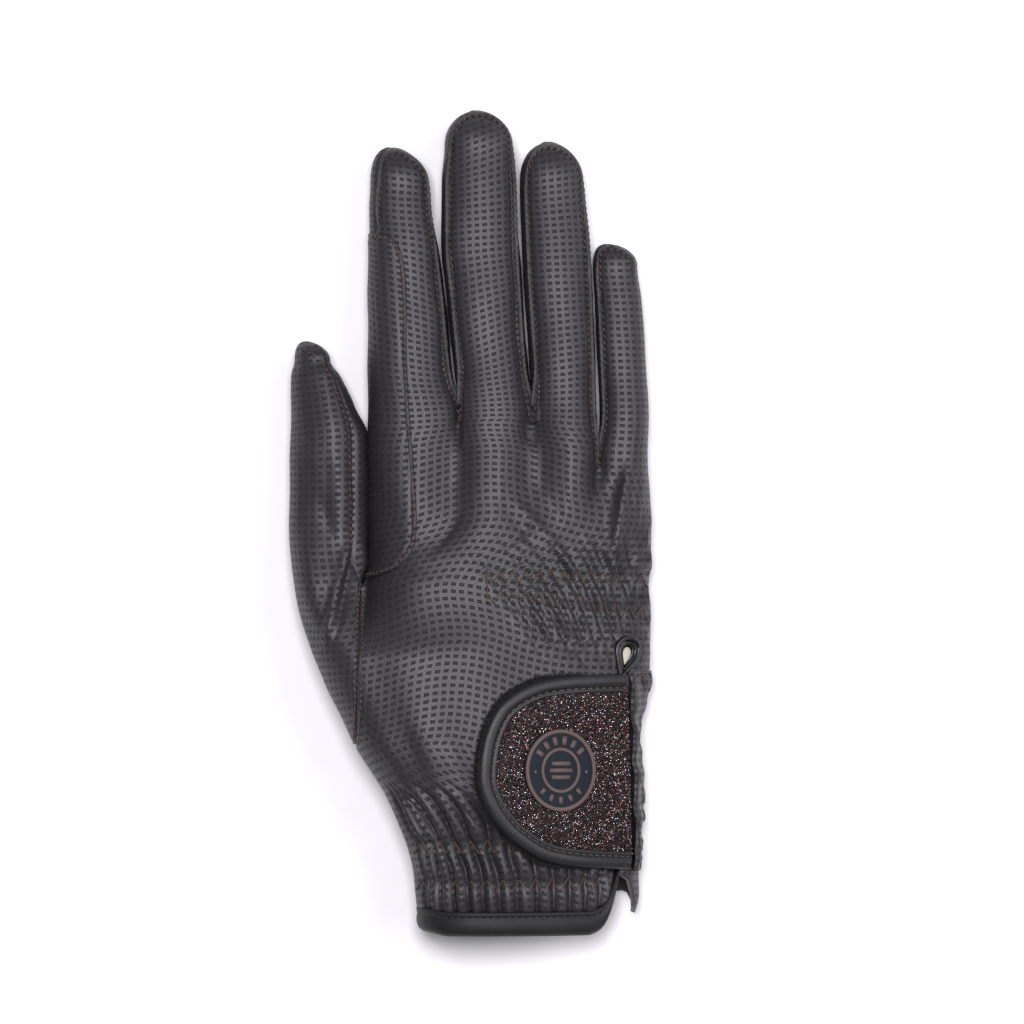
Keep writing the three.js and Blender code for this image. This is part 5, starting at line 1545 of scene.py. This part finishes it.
def hem_binding():
    """A leather strip folded round the hem, from the slit over the back and round the side and palm."""
    digits = range(LAST + 1)
    strips = [(i, "back") for i in digits[::-1]] + [(0, "left")] + [(i, "palm") for i in digits]
    place = []
    fine = np.linspace(0, BINDING_TOP * 1.12, HEM_ROWS)
    for index, part in strips:
        ts = np.linspace(0, 1, HEM_COLUMNS[part], endpoint=False)
        ts = 1 - ts if part == "back" else ts
        place.append(skin_point(index, part, *np.meshgrid(ts, fine)))
    last = skin_point(LAST, "palm", np.ones(HEM_ROWS), fine)[:, None]
    place = np.concatenate(place + [last], axis=1)
    for _ in range(3):
        place[:, 1:-1] = eased(place.swapaxes(0, 1)).swapaxes(0, 1)
    normal = -normals_of(place)
    share = np.linspace(0, 1, HEM_ROWS)

    def at_share(values, wanted):
        columns = values.swapaxes(0, 1)
        return np.array([[np.interp(wanted, share, column[:, k]) for k in range(3)] for column in columns])

    end = unit(place[0] - place[1])
    loop = []
    for across, stand in HEM_SECTION:
        within = np.clip(across, 0, 1)
        out = unit(at_share(normal, within)) * stand
        loop.append(at_share(place, within) + out + end * max(0, -across) * HEM_BELOW)
    loop = np.array(loop)
    loop[..., 2] = np.maximum(loop[..., 2], 0.0)
    number = numbered(*loop.shape[:2])
    polys = grid_faces(np.pad(number, ((0, 1), (0, 0)), mode="wrap").T).tolist()
    polys += [number[::-1, 0], number[:, -1]]
    obj = add_mesh("hem_binding", loop.reshape(-1, 3), polys, [hem_leather])
    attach(obj, "root")
    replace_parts(obj, "cuff_binding")
    line = resample(np.concatenate([loop[HEM_GROOVE], at_share(normal, HEM_SEWN_AT)], axis=1), 0.8)
    up = unit(line[:, 3:])
    stitches("hem_stitches", line[:, :3] + up * 0.1, up, 2.0, 1.5, 0.4, dark_thread)


hem_binding()

# Closure tab
TAB_END = 0.551 * BREADTH
TAB_MIDDLE = (0.196 - 0.5) * LENGTH
TAB_REACH = 41.5
TAB_HEIGHT = 55.0
TAB_LEAN = 0.8
TAB_THICKNESS = 2.0
TAB_BINDING_WIDTH = 4.8
TAB_BINDING_THICKNESS = 2.5
SEAT_GAP = 0.3
SEWN_LIFT = 0.7
HOOK_PAD_THICKNESS = 0.9
CLOTH_WAVE = 0.12
FLAKES = {
    "Density": 11 / MM**2, "Size": 0.34 * MM, "Height": 0.05 * MM, "Tilt": 0.75, "Lift": 0.1 * MM, "Seed": 4,
}
BRISTLES = {
    "Density": 22 / MM**2, "Size": 0.11 * MM, "Height": 0.9 * MM, "Tilt": 0.5, "Lift": 0.3 * MM, "Seed": 9,
}
TAB_EDGE = table(
    "along across",
    [0.0, 0.99],
    [0.2, 0.99],
    [0.42, 0.975],
    [0.6, 0.93],
    [0.75, 0.83],
    [0.87, 0.68],
    [0.95, 0.45],
    [0.99, 0.2],
    [1.0, -0.1],
    [0.955, -0.33],
    [0.885, -0.51],
    [0.785, -0.675],
    [0.6, -0.86],
    [0.4, -0.935],
    [0.2, -0.965],
    [0.0, -0.985],
)


def tab_corners():
    """Corners of the tab's edge seen from above."""
    across = TAB_EDGE["across"]
    x = TAB_END - TAB_EDGE["along"] * TAB_REACH - np.where(across < 0, across * TAB_LEAN, 0)
    return np.stack([x, TAB_MIDDLE + across * TAB_HEIGHT / 2], -1)


def catmull(line, steps=12):
    """A smooth curve through points, in even steps."""
    ends = np.concatenate([[2 * line[0] - line[1]], line, [2 * line[-1] - line[-2]]])
    t = np.linspace(0, 1, steps, endpoint=False)[:, None]
    out = []
    for k in range(1, len(ends) - 2):
        a, b, c, d = ends[k - 1 : k + 3]
        squared = (2 * a - 5 * b + 4 * c - d) * t**2
        out.append(0.5 * (2 * b + (c - a) * t + squared + (3 * b - a - 3 * c + d) * t**3))
    return np.concatenate(out + [line[-1:]])


TAB_LINE = resample(catmull(tab_corners()), 0.7)
TAB_AHEAD = tangents(TAB_LINE)


def tab_edge(drawn_in):
    """The tab's edge seen from above, moved inward."""
    return TAB_LINE + np.stack([-TAB_AHEAD[:, 1], TAB_AHEAD[:, 0]], -1) * np.asarray(drawn_in)[..., None]


def tab_lift(x):
    """How far the tab's underside stands off the back: less where it is sewn on."""
    raised = 2 * SEAT_GAP + HOOK_PAD_THICKNESS
    return mix(SEWN_LIFT, raised, smooth(0.05, 0.4, (TAB_END - x) / TAB_REACH))


LEAST_LEVEL = 0.45


def height_of(x, y):
    """Height of the smooth back at a place, and how level it is there."""
    hit, normal = drop(float(x), float(y), closed_tree)
    return hit[2], max(LEAST_LEVEL, normal[2])


def seat(line, lift):
    """Places over the smooth back that stand lift off it."""
    line = np.asarray(line)
    flat = line.reshape(-1, 2)
    lifts = np.broadcast_to(lift, line.shape[:-1]).ravel()
    found = [height_of(x, y) for x, y in flat]
    z = [h + l / n for (h, n), l in zip(found, lifts)]
    return np.concatenate([flat, np.array(z)[:, None]], axis=1).reshape(*line.shape[:-1], 3)


def disc(name, rings, materials, under):
    """A closed piece from rings of places about a middle, the first ring innermost; under is its lower rim."""
    n = len(rings[0])
    verts = np.concatenate([rings[0].mean(0)[None], *rings, under, under.mean(0)[None]])
    polys = []
    for k in range(n):
        j = (k + 1) % n
        polys.append([0, 1 + k, 1 + j])
        for r in range(len(rings)):
            a = 1 + r * n
            polys.append([a + k, a + n + k, a + n + j, a + j])
        a = 1 + len(rings) * n
        polys.append([a + k, len(verts) - 1, a + j])
    return add_mesh(name, verts, polys, materials)


def closed_by_line(line, count):
    """An open line closed by a straight one in even steps."""
    return np.concatenate([line, mix(line[-1], line[0], np.linspace(0, 1, count)[1:-1, None])])


TAB_BINDING_SECTION = [
    (0.0, 0.1), (-0.03, 0.42), (-0.01, 0.68), (0.06, 0.88), (0.18, 1.0), (0.38, 1.06), (0.56, 1.0), (0.66, 0.88),
    (0.7, 0.78), (0.74, 0.75), (0.79, 0.8), (0.88, 0.84), (0.96, 0.82), (1.0, 0.74), (1.0, 0.4),
]  # shares of the binding's width from the edge and of its thickness
TAB_GROOVE = 9  # the place of the section in which the stitches lie


def build_tab():
    """The cloth field with its flakes, and the binding round its free edge."""
    outline = closed_by_line(tab_edge(TAB_BINDING_WIDTH - 0.5), 50)
    middle = np.array([TAB_END - TAB_REACH * 0.45, TAB_MIDDLE])
    rings = []
    for share in np.linspace(0.04, 1, 26):
        x, y = mix(middle, outline, share).T
        stand = TAB_THICKNESS * (1 - 0.25 * smooth(0.9, 1, share))
        wave = CLOTH_WAVE * np.sin(x * 0.5) * np.sin(y * 0.4)
        rings.append(seat(np.stack([x, y], -1), tab_lift(x) + stand + wave))
    under = seat(outline, tab_lift(outline[:, 0]) + 0.2)
    field = disc("tab_cloth", rings, [cloth], under)
    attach(field, "root")
    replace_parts(field, "closure_tab")
    number = numbered(len(rings), len(outline))
    polys = grid_faces(np.c_[number, number[:, :1]])[:, [0, 3, 2, 1]].tolist()
    sown = add_mesh("sown", np.concatenate(rings), polys, [])
    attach(grow("tab_glitter", sown, "scatter", **FLAKES, Material=flakes), "root")
    low = tab_lift(TAB_LINE[:, 0])
    flat = [tab_edge(share * TAB_BINDING_WIDTH) for share, _ in TAB_BINDING_SECTION]
    rises = [rise * TAB_BINDING_THICKNESS for _, rise in TAB_BINDING_SECTION]
    top = np.array([seat(line, low + rise) for line, rise in zip(flat, rises)])
    bottom = np.array([seat(line, low + 0.05) for line in flat])
    obj = slab("tab_edge_binding", top[:, ::-1], bottom[:, ::-1], [bound])
    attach(obj, "root")
    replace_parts(obj, "tab_binding")
    normals = -normals_of(top)[TAB_GROOVE]
    normals[normals[:, 2] < 0] *= -1
    both = resample(np.concatenate([top[TAB_GROOVE], normals], axis=1)[2:-2], 0.8)
    sewn_row("tab_stitches", both[:, :3] + both[:, 3:] * 0.3, both[:, 3:], 2.15, 1.5, 0.5)


build_tab()


HOOK_PAD_PAST = 0.8  # how far it looks out from under the tab
HOOK_PAD_FROM = 0.3  # share of the tab's reach at which it starts
FRINGE = [(-0.4, 1.0), (0.5, 1.15), (0.95, 0.9), (1.15, 0.4)]  # how far out and how high its bristles grow


def build_hook_pad():
    """The hook tape under the tab, with bristles where it looks out."""
    outside = tab_edge(-HOOK_PAD_PAST * smooth(0.3, 0.55, (TAB_END - TAB_LINE[:, 0]) / TAB_REACH))
    keep = (TAB_END - outside[:, 0]) / TAB_REACH > HOOK_PAD_FROM
    outline = closed_by_line(outside[keep], 30)
    middle = np.array([TAB_END - TAB_REACH * 0.7, TAB_MIDDLE])
    rings = [seat(mix(middle, outline, share), 0.35 + HOOK_PAD_THICKNESS) for share in np.linspace(0.1, 1, 12)]
    pad = disc("hook_tape", rings, [hook], seat(outline, 0.15))
    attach(pad, "root")
    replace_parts(pad, "hook_pad")
    fringe = smooth(0.3, 0.62, (TAB_END - TAB_LINE[:, 0]) / TAB_REACH)
    edge = np.array([seat(tab_edge(-out * fringe)[keep], high) for out, high in FRINGE])[:, ::-1]
    sown = add_mesh("sown", edge.reshape(-1, 3), grid_faces(numbered(*edge.shape[:2])).tolist(), [])
    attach(grow("hook_bristles", sown, "scatter", **BRISTLES, Material=hook), "root")


build_hook_pad()

# Badge: raised rings about a sunk field, dots and bars in place of any lettering
BADGE_X, BADGE_Y = 0.308 * BREADTH, (0.2 - 0.5) * LENGTH
BADGE_SEEN = 0.92  # its breadth as a share of its length
BADGE_FIELD = [
    (1.0, 1.25), (3.0, 1.25), (5.2, 1.25), (7.5, 1.25), (10.6, 1.25), (11.2, 1.2), (11.5, 0.9), (11.55, 0.3),
]  # radius and height of its rings
BAR_STANDS = 1.3
BAR_ROUND = 0.12
# Bars that point at the middle: their angles in degrees, inner and outer radius, and width
SPOKES = {
    "badge_bar_high": ([145, 124, 103, 82, 61, 40], 7.1, 9.5, 1.3),
    "badge_bar_low": ([-135, -112, -90, -68, -45], 7.3, 9.2, 1.1),
    "badge_dot": ([183, -3], 7.85, 8.65, 0.85),
}
MIDDLE_BARS = {"apart": 1.9, "half": 3.7, "shorter": 0.7, "wide": 1.15}


def turns(count):
    """Even angles round a circle."""
    return np.linspace(0, 2 * math.pi, count, endpoint=False)


def build_badge():
    """The round rubber badge that follows the tab under it."""
    around = [drop(BADGE_X + 9 * math.cos(a), BADGE_Y + 9 * math.sin(a), closed_tree)[0] for a in turns(24)]
    around = np.array(around)
    fit = np.linalg.lstsq(np.c_[around[:, :2], np.ones(24)], around[:, 2], rcond=None)[0]
    normal = unit(np.array([-fit[0], -fit[1], 1.0]))
    across = unit(np.array([1.0, 0, 0]) - normal * normal[0])
    ahead = np.cross(normal, across)
    base = seat(np.array([[BADGE_X, BADGE_Y]]), tab_lift(BADGE_X) + TAB_THICKNESS + 0.1)[0]

    def follow(angle, radius, stand):
        spot = base + radius * (across * math.cos(angle) * BADGE_SEEN + ahead * math.sin(angle))
        lift = tab_lift(spot[0]) + TAB_THICKNESS
        on_tab = seat(spot[None, :2], lift)[0]
        return np.array([spot[0], spot[1], on_tab[2]]) + normal * stand

    def rubber(obj):
        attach(obj, "root")
        return obj

    rings = [np.array([follow(a, r, h) for a in turns(72)]) for r, h in BADGE_FIELD]
    low = np.array([follow(a, BADGE_FIELD[-1][0], 0.0) for a in turns(72)])
    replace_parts(rubber(disc("badge_field", rings, [field_rubber], low)), "tab_badge")

    def ring(name, inner, outer, low, high):
        bevelled = [
            (inner, low), (inner + 0.12, high - 0.12), (inner + 0.28, high), (outer - 0.28, high),
            (outer - 0.12, high - 0.12), (outer, low),
        ]
        verts = np.array([[follow(a, r, h) for r, h in bevelled] for a in turns(96)])
        number = np.pad(numbered(96, len(bevelled)), ((0, 1), (0, 1)), mode="wrap")
        rubber(add_mesh(name, verts.reshape(-1, 3), grid_faces(number).tolist(), [ring_rubber]))

    ring("badge_outer_ring", 10.2, 11.5, 0.9, 1.85)
    ring("badge_inner_ring", 5.3, 6.45, 0.9, 1.8)

    def bar(name, line, wide):
        places = np.array([follow(math.atan2(y, x), math.hypot(x, y), BAR_STANDS) for x, y in line])
        half = wide / 2
        right = [(half, -0.2), (half, 0.28), (half - BAR_ROUND, 0.4)]
        left = [(-x, y) for x, y in right[::-1]]
        rubber(sweep(name, places, np.tile(normal, (len(places), 1)), right + left, [ring_rubber]))

    def spokes(name):
        angles, near, far, wide = SPOKES[name]
        for k, degrees in enumerate(angles):
            a = math.radians(degrees)
            line = [(r * math.cos(a), r * math.sin(a)) for r in (near, (near + far) / 2, far)]
            bar("%s_%d" % (name, k), line, wide)

    spokes("badge_bar_high")
    spokes("badge_bar_low")
    for k in range(3):
        half = MIDDLE_BARS["half"] - abs(k - 1) * MIDDLE_BARS["shorter"]
        line = [(x, MIDDLE_BARS["apart"] * (1 - k)) for x in (-half, 0.0, half)]
        bar("badge_bar_middle_%d" % k, line, MIDDLE_BARS["wide"])
    spokes("badge_dot")


build_badge()

# Piping round the eyelet of the slit
PIPING = [
    (41.9, -43.1), (41.3, -39.5), (40.9, -36.2), (41.6, -33.9), (43.6, -32.6), (45.6, -33.0), (46.9, -34.8),
    (46.9, -36.9), (45.9, -39.2), (44.2, -41.2), (42.6, -43.3),
]  # its line seen from above
PIPING_RIM = {"lift": 0.55, "radius": 0.72}
PIPING_INSIDE = {"reach": 0.72, "lift": -0.15, "radius": 0.62}
LININGS = [
    ("slit_lining", (0.38, 0.46), -1.7, lining),
    ("slit_shade", (0.96, 0.96), -2.1, needle_shade),
]  # name, share of the piping's line, height and material of what is seen inside it


def tube(name, places, radius):
    """A round cord along a line."""
    profile = [(radius * math.cos(a), radius * math.sin(a)) for a in turns(12)]
    obj = sweep(name, places, np.tile([0.2, 0.1, 1.0], (len(places), 1)), profile, [piping_leather])
    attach(obj, "root")
    return obj


ring_line = resample(catmull(np.array(PIPING)), 0.5)
centre_of_ring = ring_line.mean(0)
outer = tube("slit_piping_rim", seat(ring_line, PIPING_RIM["lift"]), PIPING_RIM["radius"])
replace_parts(outer, "slit_piping")
inner_line = mix(centre_of_ring, ring_line, PIPING_INSIDE["reach"])
tube("slit_piping_inside", seat(inner_line, PIPING_INSIDE["lift"]), PIPING_INSIDE["radius"])
for name, reach, depth, material in LININGS:
    tape = seat(mix(centre_of_ring, ring_line, reach), depth)
    rings = [mix(tape.mean(0), tape, share) for share in (0.4, 0.8, 1.0)]
    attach(disc(name, rings, [material], tape - np.array([0, 0, 0.3])), "root")


# Edge of the side flap that overlaps the tab's sewn end
FLAP_EDGE = table("at x", [0.076, 44.5], [0.12, 44.2], [0.2, 43.7], [0.28, 43.2], [0.318, 43.1])
FLAP_STANDS = 3.2
FLAP_AT_SIDE = 0.75  # how far it stands off where it has run into the side
FLAP_THICKNESS = 1.1
FLAP_ROWS = 90
FLAP_COLUMNS = 22
FLAP_FINE = 40  # places along the side from which its own are read
FLAP_WANDER = 0.25  # how far its edge wanders
FLAP_WAVES = (0.35, 0.2)  # heights of its short waves beside the edge, and of those all over


def side_strip():
    """The flap's edge, which stands off the back and runs down the side; gives back its upper side."""
    rows = np.linspace(FLAP_EDGE["at"][0], FLAP_EDGE["at"][-1], FLAP_ROWS)
    ts = np.linspace(0, 0.62, FLAP_FINE)
    place, flat = [], []
    for at in rows:
        line = form_point(LAST, "right", ts, np.full(FLAP_FINE, at))
        start = float(read(FLAP_EDGE, "x", at)) + FLAP_WANDER * math.sin(at * 110)
        reach = reach_along(line)
        first = np.interp(start, line[:8, 0], reach[:8])
        wanted = mix(first, reach[-1], np.linspace(0, 1, FLAP_COLUMNS) ** 1.15)
        place.append(np.stack([np.interp(wanted, reach, line[:, k]) for k in range(3)], -1))
        flat.append(np.stack([wanted, 0 * wanted + (at - 0.5) * LENGTH], -1))
    place, flat = np.array(place), np.array(flat)
    normal = normals_of(place)
    normal *= np.sign(normal[:, :, 0:1].mean())
    far = np.cumsum(np.linalg.norm(np.diff(place, axis=1, prepend=place[:, :1]), axis=2), axis=1)
    stand = mix(FLAP_STANDS, FLAP_AT_SIDE, smooth(0.5, 6.5, far))
    from_end = np.minimum(np.arange(FLAP_ROWS), np.arange(FLAP_ROWS)[::-1])
    end = mix(0.8, 1, np.minimum(1, from_end / 6)[:, None])
    wave = FLAP_WAVES[0] * np.sin(rows * 140)[:, None] * smooth(0.5, 2.5, far) * (1 - smooth(6, 9, far))
    wave = wave + FLAP_WAVES[1] * np.sin(rows * 230 + 1)[:, None]
    rim = 0.45 * (1 - smooth(0, 0.8, far))
    top = place + normal * (stand * end + wave - rim)[..., None]
    inside = mix(FLAP_STANDS - FLAP_THICKNESS, 0.1, smooth(0.5, 5.5, far))
    under = place + normal * (inside * end)[..., None]
    obj = slab("side_flap_edge", top, under, [leather], flat / CELL)
    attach(obj, "root")
    return top


STRIP_ZIG = {"between": (45.0, 46.7), "from": -77.5, "to": -99.0, "half": 2.24}  # half is half a period
strip_ys = np.arange(STRIP_ZIG["from"], STRIP_ZIG["to"], -STRIP_ZIG["half"])
strip_lines = [[(STRIP_ZIG["between"][k % 2] + 0.02 * k, y) for k, y in enumerate(strip_ys)]]
strip_lines += [[(43.4, -43.6), (44.3, -44.8)], [(45.8, -44.2), (48.2, -42.7), (48.6, -45.9)]]
zigzag("strip_zigzag", strip_lines, grid_tree(side_strip()))

# Floor, camera and lights
bpy.ops.mesh.primitive_plane_add(size=6)
floor = bpy.context.object
floor.name = "floor"
floor.data.materials.append(plain("floor", (0.9, 0.9, 0.9), 0.8, 50.0, 0.00001, vary=0.01))
PIXEL = 0.00028  # metres on the floor to a pixel of the photo
PHOTO_MIDDLE = 512
GLOVE_MIDDLE = (470.5, 521)  # where the middle of the frame lies in the photo
CAMERA_HEIGHT = 3 * 0.796 + 0.018
camera = bpy.data.cameras.new("camera")
camera.lens = 300
camera.sensor_width = 36
obj = bpy.data.objects.new("camera", camera)
bpy.context.scene.collection.objects.link(obj)
aside = (PHOTO_MIDDLE - GLOVE_MIDDLE[0]) * PIXEL
ahead = (GLOVE_MIDDLE[1] - PHOTO_MIDDLE) * PIXEL
obj.location = (aside, ahead, CAMERA_HEIGHT)
bpy.context.scene.camera = obj


LIGHT_WHITE = (0.97, 0.95, 1.0)
SKY_WHITE = (0.95, 0.94, 1, 1)
SKY_STRENGTH = 0.22


def softbox(name, place, size, energy):
    """A square soft light that faces the glove."""
    data = bpy.data.lights.new(name, "AREA")
    data.energy = energy
    data.color = LIGHT_WHITE
    data.size = size
    light = bpy.data.objects.new(name, data)
    bpy.context.scene.collection.objects.link(light)
    light.location = place
    light.rotation_euler = (-Vector(place)).to_track_quat("-Z", "Y").to_euler()


softbox("light_right", (0.85, 0.25, 0.9), 0.9, 9)
softbox("light_top", (-0.05, 0.16, 1.35), 0.42, 18)
world = bpy.data.worlds.new("world")
bpy.context.scene.world = world
bpy.context.scene.view_settings.view_transform = "Standard"
world.use_nodes = True
sky = world.node_tree.nodes["Background"]
sky.inputs[0].default_value, sky.inputs[1].default_value = SKY_WHITE, SKY_STRENGTH
